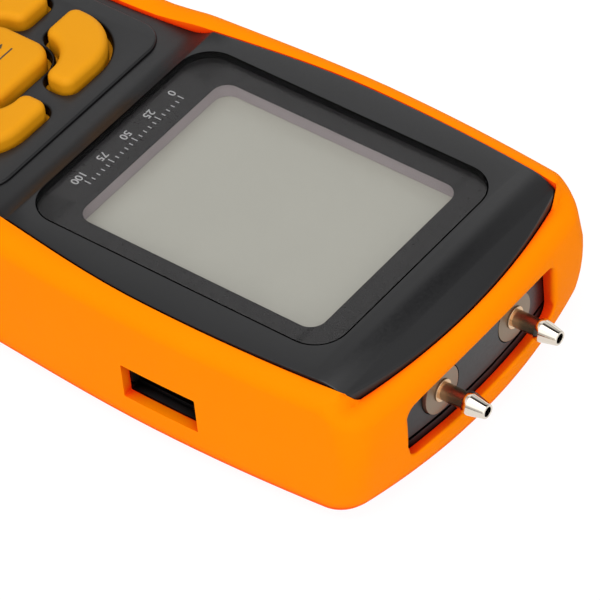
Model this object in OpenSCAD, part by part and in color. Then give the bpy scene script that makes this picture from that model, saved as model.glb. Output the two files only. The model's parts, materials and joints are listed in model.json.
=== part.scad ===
// Handheld digital manometer in a soft protective boot, in millimetres.
// +Z points out of the face, +Y towards the hose barbs, +X towards the side window.
// The origin is the centre of the whole outline at the plane the meter lies on.

/* [Body] */
// Length of the boot, end to end
boot_len = 162; // [150:1:185]
// Width of the boot at its widest
boot_w = 77.8; // [74:0.2:90]
// Height of the lens face above the plane the meter lies on
face_z = 32; // [31:0.5:40]
// How far the barbs stand out past the boot
barb_reach = 7.9; // [6.5:0.1:12]
// How much each side draws in towards the grip
waist_in = 2.9; // [0:0.1:4]
// Radius of the bowed sides beside the display
side_r = 411; // [300:1:900]
// Radius of the casing's bowed ends
end_r = 145; // [120:1:200]
// Radius of the boot's barb end at half height, where it stands out most
bulge_r = 218; // [170:2:260]
// Radius of the boot's barb end along its lower edge
low_end_r = 101; // [96:1:150]
// Radius of the boot's barb end along its upper edge
top_end_r = 166; // [140:2:200]
// How much wider the boot is at half height, each side
flare = 0.3; // [0:0.1:0.6]
// How far the boot's ends draw in along the lower edge
low_end_in = 1.2; // [0:0.1:1.5]
// Corner radius of the boot at the barb end
corner_r = 9; // [7.5:0.5:12]
// Corner radius of the boot at the grip end
grip_corner_r = 14; // [10:0.5:18]
// Corner radius of the boot at the barb end, half height
bulge_corner_r = 5.7; // [4.8:0.1:7]
// Corner radius of the boot at the barb end, lower edge
low_corner_r = 7.7; // [7:0.1:9]

/* [Boot] */
// Wall of the boot
boot_wall = 2.2; // [1.8:0.1:2.6]
// Gap between the boot and the casing
boot_fit = 0.1; // [0.1:0.05:0.4]
// Round on the boot's lower edge
base_r = 6; // [4.5:0.5:7]
// Round on the boot's upper edge
lip_r = 3.6; // [2.4:0.2:3.8]
// How far the upper lip reaches in over the casing at the sides
lip_w = 4.3; // [4:0.1:4.8]
// How much wider the lip is at the grip
lip_wider = 2.5; // [0:0.1:2.8]
// How far the bridge over the port window reaches in
bridge_w = 3.3; // [3:0.1:3.6]
// Width of the port window
port_w = 44.8; // [42:0.2:48]
// Height of the port window in its middle
port_h = 14.5; // [13.4:0.1:15]
// How much lower the port window's upper edge is at its sides
port_bow = 1.5; // [0:0.1:2]
// Corner radius of the port window
port_r = 2.4; // [1:0.2:4]
// Width of the side window
side_win_w = 17.2; // [14:0.2:22]
// Height of the side window
side_win_h = 8.1; // [7.2:0.1:9]

/* [Display] */
// Distance from the boot's lip to the lens at each side
lens_side = 7.6; // [7:0.1:8.5]
// Length of the lens
lens_len = 70.4; // [68:0.2:72]
// Thickness of the lens
lens_t = 1.5; // [1.2:0.1:1.8]
// Corner radius of the lens
lens_corner = 6.5; // [4:0.5:9]
// Seam between the lens and the casing
seam = 0.3; // [0.2:0.05:0.5]
// Printed margin between the lens's side and the clear window
view_side = 4.75; // [4.2:0.05:7]
// Mean printed margin between the lens's ends and the clear window
view_end = 7.25; // [6.7:0.05:10]
// How far the clear window sits from the lens centre towards the barbs
view_off = 1.4; // [0:0.1:2]
// Depth of the display glass below the lens face
view_depth = 4.9; // [4.6:0.1:5.2]

/* [Keys] */
// Width of the middle key
key_w = 19.5; // [18:0.5:21]
// Length of the middle key
key_len = 16; // [14:0.5:17]
// Width of the ring of wing keys round the middle key
ring_w = 43; // [41:0.5:46]
// Length of the ring of wing keys
ring_len = 33.4; // [32:0.2:34.4]
// Distance from the middle key's edge to the wing keys
ring_gap = 2.5; // [2:0.1:3]
// Space between two wing keys
wing_gap = 5.6; // [4.6:0.2:6.6]
// Width of the power key
power_w = 16; // [12:0.5:20]
// Length of the power key
power_len = 7.5; // [6.5:0.25:8.5]
// How far the keys stand above the lens face
key_rise = 1.4; // [1:0.1:1.8]
// Travel of a key
key_travel = 1.2; // [0.8:0.1:1.3]

/* [Barbs] */
// Distance between the two barbs
barb_pitch = 22.4; // [20:0.2:26]
// Depth of the barb axis below the lens face
barb_drop = 14.9; // [14.4:0.1:15.4]
// Diameter of the barb at its widest
barb_d = 4.5; // [4:0.1:5.2]
// Diameter of the barb's shaft
barb_shaft_d = 3.5; // [3.2:0.1:3.8]
// Bore through the barb
barb_bore_d = 2; // [1.6:0.1:2.2]
// Diameter of the barb's round flange
flange_d = 9.9; // [9.4:0.1:10.4]

/* [Battery bay] */
// Diameter of a battery cell
cell_d = 10.5; // [10:0.1:10.8]
// Length of a battery cell
cell_len = 44.5; // [43:0.1:45]
// Spacing of the cells
cell_pitch = 11; // [10.9:0.1:11.4]
// Thickness of the battery door and of the casing floor
door_t = 2.4; // [2.2:0.1:2.6]

/* [Hidden] */
$fn = 48;
cut = 1;              // overrun of a cut
fit = 0.05;           // running clearance of a shaft in its hole
touch = 0.05;         // gap between pieces that rest on each other
top_y = (boot_len - barb_reach) / 2;
bottom_y = top_y - boot_len;
half_w = boot_w / 2;
grip_half = half_w - waist_in;
lens_to_end = 51.2;   // from the lens centre to the boot's barb end
lens_y = top_y - lens_to_end;
wide_off = 2;         // from the lens centre to where the boot is widest
wide_y = lens_y + wide_off;
waist_run = 67;       // from the widest place to the grip
wider_run = 60;       // from the lens centre to where the lip is widest
level = face_z;
lens_w = boot_w - 2 * lip_w - 2 * lens_side;
view_w = lens_w - 2 * view_side;
view_len = lens_len - 2 * view_end;

// Outline of the body: true arcs, drawn in by a side inset, an end inset and a corner radius
end_steps = 5;
end_ease = 1.8;       // the steps along a bowed end are shorter towards its corners
corner_steps = 6;
end_flat = 3;         // half width of the flat in the middle of each bowed end
casing_in = boot_wall + boot_fit;

function blend(t) = (1 - cos(180 * max(0, min(1, t)))) / 2;
function sink(t) = 1 - pow(1 - max(0, min(1, t)), 2);
function lerp(a, b, t) = a + (b - a) * t;
function side_x(y, si, wide) = y > wide_y
    ? half_w - side_r + sqrt(pow(side_r - si, 2) - pow(y - wide_y, 2))
    : half_w - si - waist_in * blend((wide_y - y) / waist_run) - wide * blend((lens_y - y) / wider_run);
function arc(c, r, a0, a1, n) = [for (i = [0 : n]) c + r * [cos(lerp(a0, a1, i / n)), sin(lerp(a0, a1, i / n))]];
function heading(v) = atan2(v.y, v.x);
// Centre of the corner round between the bowed side and the bowed end
function top_corner(si, ei, rc, rt) =
    let (a = [half_w - side_r, wide_y], b = [0, top_y - rt],
         ra = side_r - si - rc, rb = rt - ei - rc, d = norm(b - a),
         along = (ra * ra - rb * rb + d * d) / (2 * d), u = (b - a) / d,
         up = sqrt(ra * ra - along * along))
    a + along * u + up * [-u.y, u.x];
function low_corner(si, ei, rc) =
    let (x = grip_half - si - rc, rb = end_r - ei - rc)
    [x, bottom_y + end_r - sqrt(rb * rb - x * x)];
// Places along a side, closer together where the face slopes
function stations(y0, y1) = concat(
    [for (i = [1 : 6]) lerp(y0, lens_y - channel_from - channel_run, i / 6)],
    [for (i = [1 : 3]) lens_y - channel_from - channel_run * (1 - i / 3)],
    [for (i = [1 : 5]) lerp(lens_y - channel_from, lens_y + rim_from, i / 5)],
    [for (i = [1 : 5]) lerp(lens_y + rim_from, y1, i / 6)]);
// Right half of the outline, from the grip end to the barb end
function half_outline(si, ei, rc, rg, rt, wide) =
    let (ct = top_corner(si, ei, rc, rt), cb = low_corner(si + wide, ei, rg),
         bt = [0, top_y - rt], bb = [0, bottom_y + end_r], re = end_r - ei, rf = rt - ei,
         at = [half_w - side_r, wide_y],
         side_a = heading(ct - at), end_a = heading(ct - bt), low_a = heading(cb - bb))
    concat(
        [for (i = [0 : end_steps - 1]) let (a = lerp(-90 + asin(end_flat / re), low_a, i / end_steps)) bb + re * [cos(a), sin(a)]],
        arc(cb, rg, low_a, 0, corner_steps),
        [for (y = stations(cb.y, ct.y + rc * sin(side_a))) [side_x(y, si, wide), y]],
        arc(ct, rc, side_a, end_a, corner_steps),
        [for (i = [1 : end_steps]) let (a = lerp(end_a, 90 - asin(end_flat / rf), pow(i / end_steps, end_ease))) bt + rf * [cos(a), sin(a)]]);
function outline(si, ei, rc, rg, rt, wide = 0) =
    let (h = half_outline(si, ei, rc, rg, rt, wide), n = len(h))
    concat(h, [for (i = [n - 1 : -1 : 0]) [-h[i].x, h[i].y]]);
function inset_outline(d) = outline(d, d, corner_r - d, grip_corner_r - d, end_r);
// Outline of the boot's opening and of the casing's raised middle in it, drawn in by d
function opening_outline(d) = outline(lip_w + d, bridge_w + d, casing_corner, grip_corner_r - lip_w - d, bridge_r, lip_wider);

// Heights of the face along the body
lens_half = lens_len / 2;
slope_gap = 2.8;      // from the lens's end to where the face starts down to the bridge
slope_from = lens_half + slope_gap;
slope_run = 13;
slope_drop = 4.2;
rim_gap = 1.3;        // the same for the step that the lip lies in
rim_from = lens_half + rim_gap;
rim_run = 8.5;
rim_fall = 3.75;
channel_gap = 0.3;    // from the lens's end to where the face starts down to the keys
channel_from = lens_half + channel_gap;
channel_run = 5.5;
channel_drop = 1.8;
lip_drop = 0.14;      // from the face down to the lip's crest beside the lens's middle
lip_fall = 0.48;      // how much lower the lip is at the bridge
lip_fall_run = 43;
lip_edge = 0.15;      // round on the lip's inner edge
bulge_drop = 13.5;    // from the lens face down to where the boot's end stands out most
bulge_z = level - bulge_drop;
top_end_in = 0.3;     // how far the boot's barb end draws in along its upper edge
ear_gap = 3.8;        // from the lens's end to where the boot's lip starts down to the bridge
ear_from = lens_half + ear_gap;
ear_run = 9;
edge_gap = 8.5;       // the same for the lip's inner edge
edge_run = 1;
ear_drop = 3.7;
grip_lip_from = 38;
grip_lip_run = 12;
grip_lip_drop = 1.1;
rim_drop = 1.9;       // step in the casing that the lip lies in
function channel_at(y) = channel_drop * sink((lens_y - channel_from - y) / channel_run);
function face_at(y) = level - channel_at(y) - slope_drop * blend((y - lens_y - slope_from) / slope_run);
function rim_at(y) = level - rim_drop - channel_at(y) - rim_fall * blend((y - lens_y - rim_from) / rim_run);
// The lip's height, with k from 0 at its crest to 1 at its inner edge
function lip_at(y, k) = level - lip_drop - ear_drop * blend((y - lens_y - lerp(ear_from, lens_half + edge_gap, k)) / lerp(ear_run, edge_run, k))
    - lip_fall * max(0, min(1, (y - lens_y) / lip_fall_run)) - grip_lip_drop * blend((lens_y - grip_lip_from - y) / grip_lip_run);

// A level is an outline and a function of y that gives its height
function ring_at(l) = [for (p = l[0]) [p.x, p.y, l[1](p.y)]];
function flat_at(z) = function(y) z;
module loft(levels, closed = false) {
    m = len(levels[0][0]);
    n = len(levels);
    spans = closed ? n : n - 1;
    points = [for (l = levels) each ring_at(l)];
    sides = [for (k = [0 : spans - 1], i = [0 : m - 1])
        let (k2 = (k + 1) % n, j = (i + 1) % m, a = k * m + i, b = k * m + j, c = k2 * m + j, d = k2 * m + i)
        each [[a, d, c], [a, c, b]]];
    h = m / 2;
    last = (n - 1) * m;
    low_cap = [for (i = [0 : h - 2]) let (a = i, b = i + 1, c = m - 2 - i, d = m - 1 - i) each [[a, b, c], [a, c, d]]];
    high_cap = [for (i = [0 : h - 2]) let (a = last + i, b = last + i + 1, c = last + m - 2 - i, d = last + m - 1 - i) each [[a, c, b], [a, d, c]]];
    polyhedron(points = points, faces = closed ? sides : concat(sides, low_cap, high_cap), convexity = 8);
}
module plate(d, z0, z1) translate([0, 0, z0]) linear_extrude(z1 - z0) polygon(inset_outline(d));

// Rounded rectangle made of squares and circles
module round_rect(w, l, r) {
    square([w - 2 * r, l], center = true);
    square([w, l - 2 * r], center = true);
    for (x = [-1, 1], y = [-1, 1]) translate([x * (w / 2 - r), y * (l / 2 - r)]) circle(r);
}
module slab(w, l, r, z0, z1) translate([0, 0, z0]) linear_extrude(z1 - z0) round_rect(w, l, r);
module box(size, at) translate(at) cube(size, center = true);
// Runs a shape drawn round Z along +Y from the lens centre line
module along_y(x, z) translate([x, lens_y, z]) rotate([-90, 0, 0]) children();

// Casing
part_drop = 21.2;     // from the lens face down to the parting line of the casing
part_z = level - part_drop;
casing_wall = 1.8;
casing_base = boot_wall + boot_fit;
casing_floor = casing_base + door_t;
cavity_in = casing_in + casing_wall;
casing_corner = 0.5;  // sharp corner of the face in the boot's opening
rim_turn = 1;         // the lip's upper edge turns this much wider than its inner edge
bridge_r = 136;       // radius that the bridge's inner edge is concentric with
lip_gap = 0.2;
lip_under = 0.4;      // gap under the lip
roof_drop = 8.2;      // ceiling under the sloped end
ceiling_drop = 3.6;   // ceiling under the face
ceiling_in = 6.6;
ceiling_wider = 1.5;  // the same at the grip, over the ceiling's inset
ceiling_gap = 0.8;    // from the lens's end to the ceiling's end
ceiling_end = lens_half + ceiling_gap;
edge_bevel = 0.4;
roof_z = level - roof_drop;
ceiling_z = level - ceiling_drop;

// Display stack, measured down from the lens face
mask_t = 0.15;
tape_t = 0.3;
lens_seat = lens_t + mask_t + tape_t;
tape_in = 1.8;        // width of the tape
view_corner = 3.2;
frame_wall = 1.95;
glass_t = 1.7;
glass_margin = 1.65;
light_short = 2.8;    // the light panel stops short of the glass by this at each end
board_drop = 7.6;
board_t = 1.6;
board_z = level - board_drop;
board_under = board_z - board_t;
collar_w = view_w + 2 * frame_wall;
collar_len = view_len + 2 * frame_wall;
flange_out = 1.8;     // the frame's flange stands out past its collar
strip_w = 2;
view_y = lens_y + view_off;

// Keypad, placed from the lens centre
pad_edge = 43.4;      // the raised panel's edge
pad_end = 98.5;
pad_w = lens_w;
pad_corner = 6;
pad_rise = 0.6;
key_from = 65.3;      // from the lens centre to the middle key
power_from = 89.5;
key_y = lens_y - key_from;
power_y = lens_y - power_from;
key_corner = 4.5;
ring_corner = 10.5;
tip_r = 2.2;          // round on a wing's corners
socket_gap = 0.85;
key_top = level + key_rise;
key_flange_t = 1;
key_flange_out = 1.05;
key_round = 1.6;      // round on a key's upper edge
key_round_steps = 3;
key_steps = 4;
mat_t = 1;
skirt_spare = 0.6;    // what is left of the collar when the key is down
skirt_h = key_travel + skirt_spare;
skirt_t = 0.6;
skirt_in = 0.3;
stem_r = 1.5;
pill_r = 1.4;
pill_t = 0.4;
pill_gap = 0.15;      // left when a key is fully down
mat_z = board_z + touch;
skirt_z = mat_z + mat_t + touch;
cap_z = skirt_z + skirt_h + touch;
pill_z = board_z + key_travel + pill_gap;
pad_z = level - channel_drop + pad_rise;

KEYS = ["center", "upper_left", "upper_right", "lower_left", "lower_right", "power"];
wing_side_share = [0, -1, 1, -1, 1, 0];
wing_end_share = [0, 1, 1, -1, -1, 0];
wing_x = (ring_w / 2 - ring_corner + key_w / 2 - key_corner + (ring_corner + key_corner + ring_gap) * cos(45)) / 2;
wing_y = (ring_len / 2 - ring_corner + key_len / 2 - key_corner + (ring_corner + key_corner + ring_gap) * cos(45)) / 2;
function key_mid(i) = i == 0 ? [0, key_y] : i == 5 ? [0, power_y]
    : [wing_side_share[i] * wing_x, key_y + wing_end_share[i] * wing_y];

// Outline of key i drawn in by d, or out where d is negative, counter-clockwise round the key's own place
function rrect_points(w, l, r, d) = [for (q = [0 : 3]) let (cx = (q == 0 || q == 3 ? 1 : -1) * (w / 2 - r), cy = (q < 2 ? 1 : -1) * (l / 2 - r))
    each arc([cx, cy], r - d, 90 * q, 90 * q + 90, key_steps)];
function wing_points(d) =
    let (w = ring_w / 2, h = ring_len / 2, g = wing_gap / 2, c = key_corner + ring_gap, t = tip_r,
         x = key_w / 2 - key_corner, y = key_len / 2 - key_corner,
         a = asin((g + t - x) / (c + t)), b = asin((g + t - y) / (c + t)))
    concat(arc([w - ring_corner, h - ring_corner], ring_corner - d, 0, 90, key_steps),
           arc([g + t, h - t], t - d, 90, 180, key_steps),
           arc([g + t, y + (c + t) * cos(a)], t - d, 180, 270 - a, key_steps),
           [for (i = [1 : key_steps - 1]) let (e = lerp(90 - a, b, i / key_steps)) [x, y] + (c + d) * [cos(e), sin(e)]],
           arc([x + (c + t) * cos(b), g + t], t - d, 180 + b, 270, key_steps),
           arc([w - t, g + t], t - d, 270, 360, key_steps));
function turned(p, sx, sy) = let (q = [for (v = p) [v.x * sx, v.y * sy]], n = len(q))
    sx * sy > 0 ? q : [for (k = [n - 1 : -1 : 0]) q[k]];
function key_points(i, d) = i == 0 ? [for (p = rrect_points(key_w, key_len, key_corner, d)) p + [0, key_y]]
    : i == 5 ? [for (p = rrect_points(power_w, power_len, power_len / 2 - touch, d)) p + [0, power_y]]
    : [for (p = turned(wing_points(d), wing_side_share[i], wing_end_share[i])) p + [0, key_y]];
module grown_key(i, by) polygon(key_points(i, -by));
// Closed skin through rings of the same number of points, each with its height
module stack(levels) {
    m = len(levels[0][0]);
    n = len(levels);
    polyhedron(points = [for (l = levels, p = l[0]) [p.x, p.y, l[1]]],
        faces = concat([[for (k = [0 : m - 1]) k]], [[for (k = [m - 1 : -1 : 0]) (n - 1) * m + k]],
            [for (j = [0 : n - 2], k = [0 : m - 1]) let (k2 = (k + 1) % m, a = j * m + k, b = j * m + k2, c = b + m, d = a + m)
                each [[a, d, c], [a, c, b]]]), convexity = 4);
}

// Battery bay, placed from the lens centre
cells = 3;
bay_low = 95.4;
bay_high = 43.4;
bay_low_y = lens_y - bay_low;
bay_high_y = lens_y - bay_high;
bay_spare = 0.9;
bay_w = cell_pitch * (cells - 1) + cell_d + 2 * bay_spare;
bay_wall = 1.4;
ledge = 0.9;
door_gap = 0.2;
hinge_in = 1.9;       // from the bay's end to the hinge axis
hinge_y = bay_low_y - hinge_in;
hinge_z = casing_base + door_t / 2;
hinge_r = 0.8;
hinge_len = 1.7;
door_w = bay_w + 2 * ledge;
door_end = bay_high_y + ledge;
pad_t = 0.5;
cell_z = casing_floor + pad_t + door_gap + cell_d / 2;
bay_top = cell_z + cell_d / 2 + door_gap;
plate_t = 0.4;
plate_h = 8;
plate_w = 8.6;
cell_nub = 1.2;
cell_nub_r = 1.9;
spring_len = bay_high_y - bay_low_y - 2 * plate_t - cell_len - 4 * touch;
bay_mid_y = (bay_high_y + bay_low_y) / 2;
cell_start = (bay_high_y - bay_low_y) / 2 - plate_t - touch - cell_len;
tab_w = 2.4;
tab_out = 4.6;
back_margin = 1.4;    // the boot's back opening is this much wider than the door

// Fasteners
boss_r = 3;
boss_in = 10.9;       // from the boot's widest place in to the upper bosses
boss_x = half_w - boss_in;
boss_up = 38.5;       // from the lens centre
boss_low_in = 14.3;
boss_low_x = half_w - boss_low_in;
boss_low = 98.6;
screw_r = 1.25;
screw_head_r = 2.4;
screw_head_t = 1.8;
screw_grip = 6.5;     // how far a case screw reaches into the front casing
head_recess = 1;      // the head sits this far in from the casing's back
board_boss_r = 2.3;
board_screw_up = 40;
board_screw_low = 89;
small_screw_r = 0.95;
board_side = 7.4;     // from the cavity's widest place in to the board's edge
board_screw_in = 2.3;
board_half = half_w - cavity_in - board_side;
board_screw_x = board_half - board_screw_in;
small_head_r = 1.9;
small_head_t = 1.3;
small_grip = 3.2;
case_bosses = [for (s = [-1, 1]) each [[s * boss_x, lens_y + boss_up], [s * boss_low_x, lens_y - boss_low]]];
board_bosses = [for (s = [-1, 1]) each [[s * board_screw_x, lens_y - board_screw_up], [s * board_screw_x, lens_y - board_screw_low]]];

// Side window, socket and its board
side_win_off = 4.4;   // from the lens centre
side_win_drop = 18.55;
side_win_y = lens_y + side_win_off;
side_win_z = level - side_win_drop;
casing_win_w = 16.2;
casing_win_h = 7.3;
socket_w = 7.7;
socket_h = 3.9;
socket_len = 9.2;
socket_wall = 0.4;
socket_deep = 7;
tongue_h = 0.7;
tongue_w = 5;
socket_in = 2.2;
socket_x = half_w - cavity_in - socket_in;
sub_t = 1.2;
sub_z = side_win_z - socket_h / 2;
sub_len = 21;
sub_w = 15;
sub_in = 0.4;
sub_x = socket_x - sub_in;
sub_screw_in = 2.4;
header_w = 2.5;
header_len = 10.2;
header_in = 2.6;

// Barb profile, measured from the lens centre along Y
barb_z = level - barb_drop;
barb_tip = lens_to_end + barb_reach;
flange_face = 48.8;
flange_t = 1.8;
seal_r = 0.5;
seal_ring_r = 3.9;
bore_floor = flange_face - flange_t - 2 * seal_r - 2 * touch;
port_boss_r = 6.9;
port_boss_back = 42.7;
shank_r = 3;
shank_hole_r = 3.05;
shank_end = 39.9;
nut_t = 2.4;
nut_af = 8;
spigot_r = 1.5;
spigot_end = 35.3;
cone_len = 4.6;
cone_land = 1;        // the straight stretch at the cone's widest place
cone_tip_d = 3;
tip_round = 0.25;
collar_r = 2.3;
collar_t = 0.35;
port_floor = 23;       // lower edge of the port window below the lens face
port_steps = 12;
port_deep = 14;        // depth of the window's cut behind the end

// Sensor and its tubes
sensor_w = 15;
sensor_len = 12;
sensor_h = 8.4;
sensor_front = 20;    // the sensor's front face from the lens centre
port_x = 4;
sensor_port_len = 5;
sensor_boss_r = 2.4;
tube_r = 2.3;
tube_bore = 1.6;
tube_sides = 10;
tube_start = 21;
tube_straight = 4.4;   // from the tube's start to its first bend
tube_bend_from = tube_start + tube_straight;
spigot_gap = 0.3;      // from the tube's last bend to the spigot
tube_bend_to = spigot_end - spigot_gap;
tube_off = 0.3;        // from the shank to the tube's end
tube_stop = shank_end - tube_off;
tube_rings = 12;

// Wires from the battery bay to the main board, as offsets from their first point
wire_r = 0.6;
wire_x = [-11, 11];
wire_end_share = [0, 0.1, 0.3, 0.5, 0.7, 0.9, 1, 1];
wire_lift_share = [0, 0.02, 0.12, 0.32, 0.56, 0.78, 0.9, 1];
wire_run = 9;
wire_z = 12.5;

// The boot's outline at a share of its bulge, 1 at half height and 0 along its lower or upper edge, drawn in by d and e
function boot_outline(k, low, d, e, sharp) =
    let (edge_r = low ? low_end_r : top_end_r, edge_in = low ? low_end_in : top_end_in,
         edge_corner = low ? low_corner_r : corner_r)
    outline(flare * (1 - k) + d, edge_in * (1 - k) + e, lerp(lerp(edge_corner, bulge_corner_r, k) - d, casing_corner + rim_turn, sharp),
            grip_corner_r - d, 1 / lerp(lerp(1 / edge_r, 1 / bulge_r, k), 1 / bridge_r, sharp));
function bulge_share(z, edge) = 1 - pow((z - bulge_z) / (edge - bulge_z), 2);
// Closed section of the boot's wall and lip, swept round the outline
function boot_levels() =
    let (quarter = [for (i = [0 : 4]) 90 * i / 4], third = [for (i = [0 : 4]) 90 * i / 4], base_in = base_r - boot_wall,
         end_z = lip_at(top_y, 0))
    concat(
        [for (a = quarter) let (d = base_r * (1 - sin(a)), z = base_r * (1 - cos(a)))
            [boot_outline(bulge_share(z, 0), true, d, d, 0), flat_at(z)]],
        [for (i = [1 : 3]) let (z = lerp(base_r, bulge_z, i / 3)) [boot_outline(bulge_share(z, 0), true, 0, 0, 0), flat_at(z)]],
        [for (a = third) let (d = lip_r * (1 - cos(a)), f = lip_r * (1 - sin(a)), k = bulge_share(end_z - f, end_z))
            [boot_outline(k, false, d, (bridge_w - top_end_in - touch) * (1 - cos(a)), a / 90), function(y) lip_at(y, a / 90) - f]],
        [[opening_outline(0), function(y) lip_at(y, 1) - lip_edge],
         [opening_outline(0), function(y) rim_at(y) + lip_under],
         [inset_outline(boot_wall), function(y) rim_at(y) + lip_under]],
        [for (i = [0 : 3]) let (a = 90 * (1 - i / 3), d = base_in * (1 - sin(a)), z = base_in * (1 - cos(a)))
            [inset_outline(boot_wall + d), flat_at(boot_wall + z)]]);

// The window's outline with its upper edge bowed like the bridge above it
module port_outline() {
    offset(r = port_r, $fn = 32) offset(delta = -port_r) polygon(concat(
        [[-port_w / 2, 0], [port_w / 2, 0]],
        [for (i = [0 : port_steps]) let (t = 1 - 2 * i / port_steps) [t * port_w / 2, port_h - port_bow * t * t]]));
}
module port_window(y0, y1) translate([0, y1, level - port_floor]) rotate([90, 0, 0]) linear_extrude(y1 - y0) port_outline();

module protective_boot() color("darkorange") difference() {
    union() {
        loft(boot_levels(), closed = true);
        plate(base_r - boot_wall / 4, 0, boot_wall);
    }
    port_window(top_y - port_deep, top_y + cut);
    box([2 * boot_wall + lip_w, side_win_w, side_win_h], [half_w, side_win_y, side_win_z]);
    translate([0, (hinge_y - door_t / 2 + door_end) / 2, -cut])
        linear_extrude(boot_wall + 2 * cut)
        round_rect(door_w + 2 * back_margin, door_end - hinge_y + door_t / 2 + 2 * back_margin, back_margin);
}

module front_casing() color("#3a3a3c") difference() {
    union() {
        difference() {
            loft([[inset_outline(casing_in), flat_at(part_z)],
                  [inset_outline(casing_in), function(y) rim_at(y)],
                  [opening_outline(lip_gap), function(y) rim_at(y)],
                  [opening_outline(lip_gap), function(y) face_at(y) - edge_bevel],
                  [opening_outline(lip_gap + edge_bevel), function(y) face_at(y)]]);
            plate(cavity_in, part_z - cut, roof_z);
            intersection() {
                translate([0, 0, part_z - cut]) linear_extrude(ceiling_z - part_z + cut)
                    polygon(outline(ceiling_in, ceiling_in, corner_r - ceiling_in, grip_corner_r - ceiling_in, end_r, ceiling_wider));
                box([boot_w, boot_len, boot_w], [0, lens_y + ceiling_end - boot_len / 2, 0]);
            }
        }
        // Raised keypad panel
        translate([0, lens_y - (pad_edge + pad_end) / 2, 0])
            slab(pad_w, pad_end - pad_edge, pad_corner, ceiling_z, pad_z);
        for (p = case_bosses) translate([p.x, p.y, part_z]) cylinder(h = ceiling_z - part_z, r = boss_r);
        for (p = board_bosses) translate([p.x, p.y, board_z + touch]) cylinder(h = ceiling_z - board_z, r = board_boss_r);
        for (s = [-1, 1]) intersection() {
            along_y(s * barb_pitch / 2, barb_z) translate([0, 0, port_boss_back]) cylinder(h = bore_floor - port_boss_back + flange_t, r = port_boss_r);
            plate(cavity_in - casing_wall / 2, part_z, roof_z + cut / 2);
        }
    }
    // Lens seat and display opening
    translate([0, lens_y, 0]) slab(lens_w + 2 * seam, lens_len + 2 * seam, lens_corner + seam, level - lens_seat, level + cut);
    translate([0, view_y, 0]) slab(collar_w + 2 * seam, collar_len + 2 * seam, view_corner + frame_wall, ceiling_z - cut, level);
    // Key sockets
    for (i = [0 : len(KEYS) - 1]) translate([0, 0, ceiling_z - cut]) linear_extrude(level) grown_key(i, socket_gap);
    for (p = case_bosses) translate([p.x, p.y, part_z - cut]) cylinder(h = screw_grip + 2 * cut, r = screw_r + fit);
    for (p = board_bosses) translate([p.x, p.y, board_z - cut]) cylinder(h = small_grip + cut, r = small_screw_r + fit);
    // Barb holes: the flange's counterbore and the shank's hole
    for (s = [-1, 1]) along_y(s * barb_pitch / 2, barb_z) {
        translate([0, 0, bore_floor]) cylinder(h = lens_to_end, r = flange_d / 2 + lip_gap);
        cylinder(h = lens_to_end, r = shank_hole_r);
    }
    box([2 * cavity_in, casing_win_w, casing_win_h], [half_w, side_win_y, side_win_z]);
}

module rear_casing() color("#2c2c2e") difference() {
    union() {
        difference() {
            let (r = base_r - casing_in)
            loft(concat([for (i = [0 : 3]) let (a = 90 * i / 3, d = r * (1 - sin(a)))
                    [inset_outline(casing_in + d), flat_at(casing_base + r * (1 - cos(a)))]],
                [[inset_outline(casing_in), flat_at(part_z - touch)]]));
            plate(cavity_in, casing_floor, part_z + cut);
        }
        // Battery tub
        box([door_w + 2 * bay_wall, door_end - hinge_y + 2 * bay_wall + door_t, bay_top + bay_wall - casing_base],
            [0, (door_end + hinge_y) / 2, (bay_top + bay_wall + casing_base) / 2]);
        for (s = [-1, 1]) box([2 * hinge_len + bay_wall, 2 * door_t, 2 * door_t],
            [s * (door_w / 2 + hinge_len / 2 + bay_wall / 2), hinge_y, casing_floor]);
        for (p = case_bosses) translate([p.x, p.y, casing_base]) cylinder(h = part_z - casing_base - touch, r = boss_r);
        for (s = [-1, 1]) translate([sub_x - sub_w + sub_screw_in, side_win_y + s * (sub_len / 2 - sub_screw_in), casing_base])
            cylinder(h = sub_z - sub_t - casing_base - touch, r = board_boss_r);
    }
    box([bay_w, bay_high_y - bay_low_y, bay_top + cut], [0, (bay_high_y + bay_low_y) / 2, (bay_top - cut) / 2]);
    // Seat of the door, with a round trough for its hinge edge
    box([door_w + 2 * door_gap, door_end - hinge_y + door_gap, casing_floor], [0, (door_end + hinge_y + door_gap) / 2, casing_floor / 2]);
    translate([0, hinge_y, hinge_z]) rotate([0, 90, 0]) {
        cylinder(h = door_w + 2 * door_gap, r = door_t / 2 + door_gap, center = true);
        cylinder(h = door_w + 2 * hinge_len + 2 * door_gap, r = hinge_r + fit, center = true);
    }
    box([door_w + 2 * door_gap, door_t + 2 * door_gap, hinge_z], [0, hinge_y, hinge_z / 2]);
    for (p = case_bosses) translate([p.x, p.y, 0]) {
        cylinder(h = casing_base + head_recess + screw_head_t, r = screw_head_r + lip_gap);
        cylinder(h = part_z + cut, r = screw_r + lip_gap);
    }
    for (s = [-1, 1]) translate([sub_x - sub_w + sub_screw_in, side_win_y + s * (sub_len / 2 - sub_screw_in), sub_z - sub_t - small_grip])
        cylinder(h = small_grip + cut, r = small_screw_r + fit);
    // Slots for the contact plates' tabs
    for (x = wire_x) box([tab_w + 2 * lip_gap, 2 * bay_wall + 2 * ledge, plate_t + 2 * lip_gap], [x, bay_high_y + bay_wall, wire_z]);
    box([2 * cavity_in, casing_win_w, casing_win_h], [half_w, side_win_y, side_win_z]);
}

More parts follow.
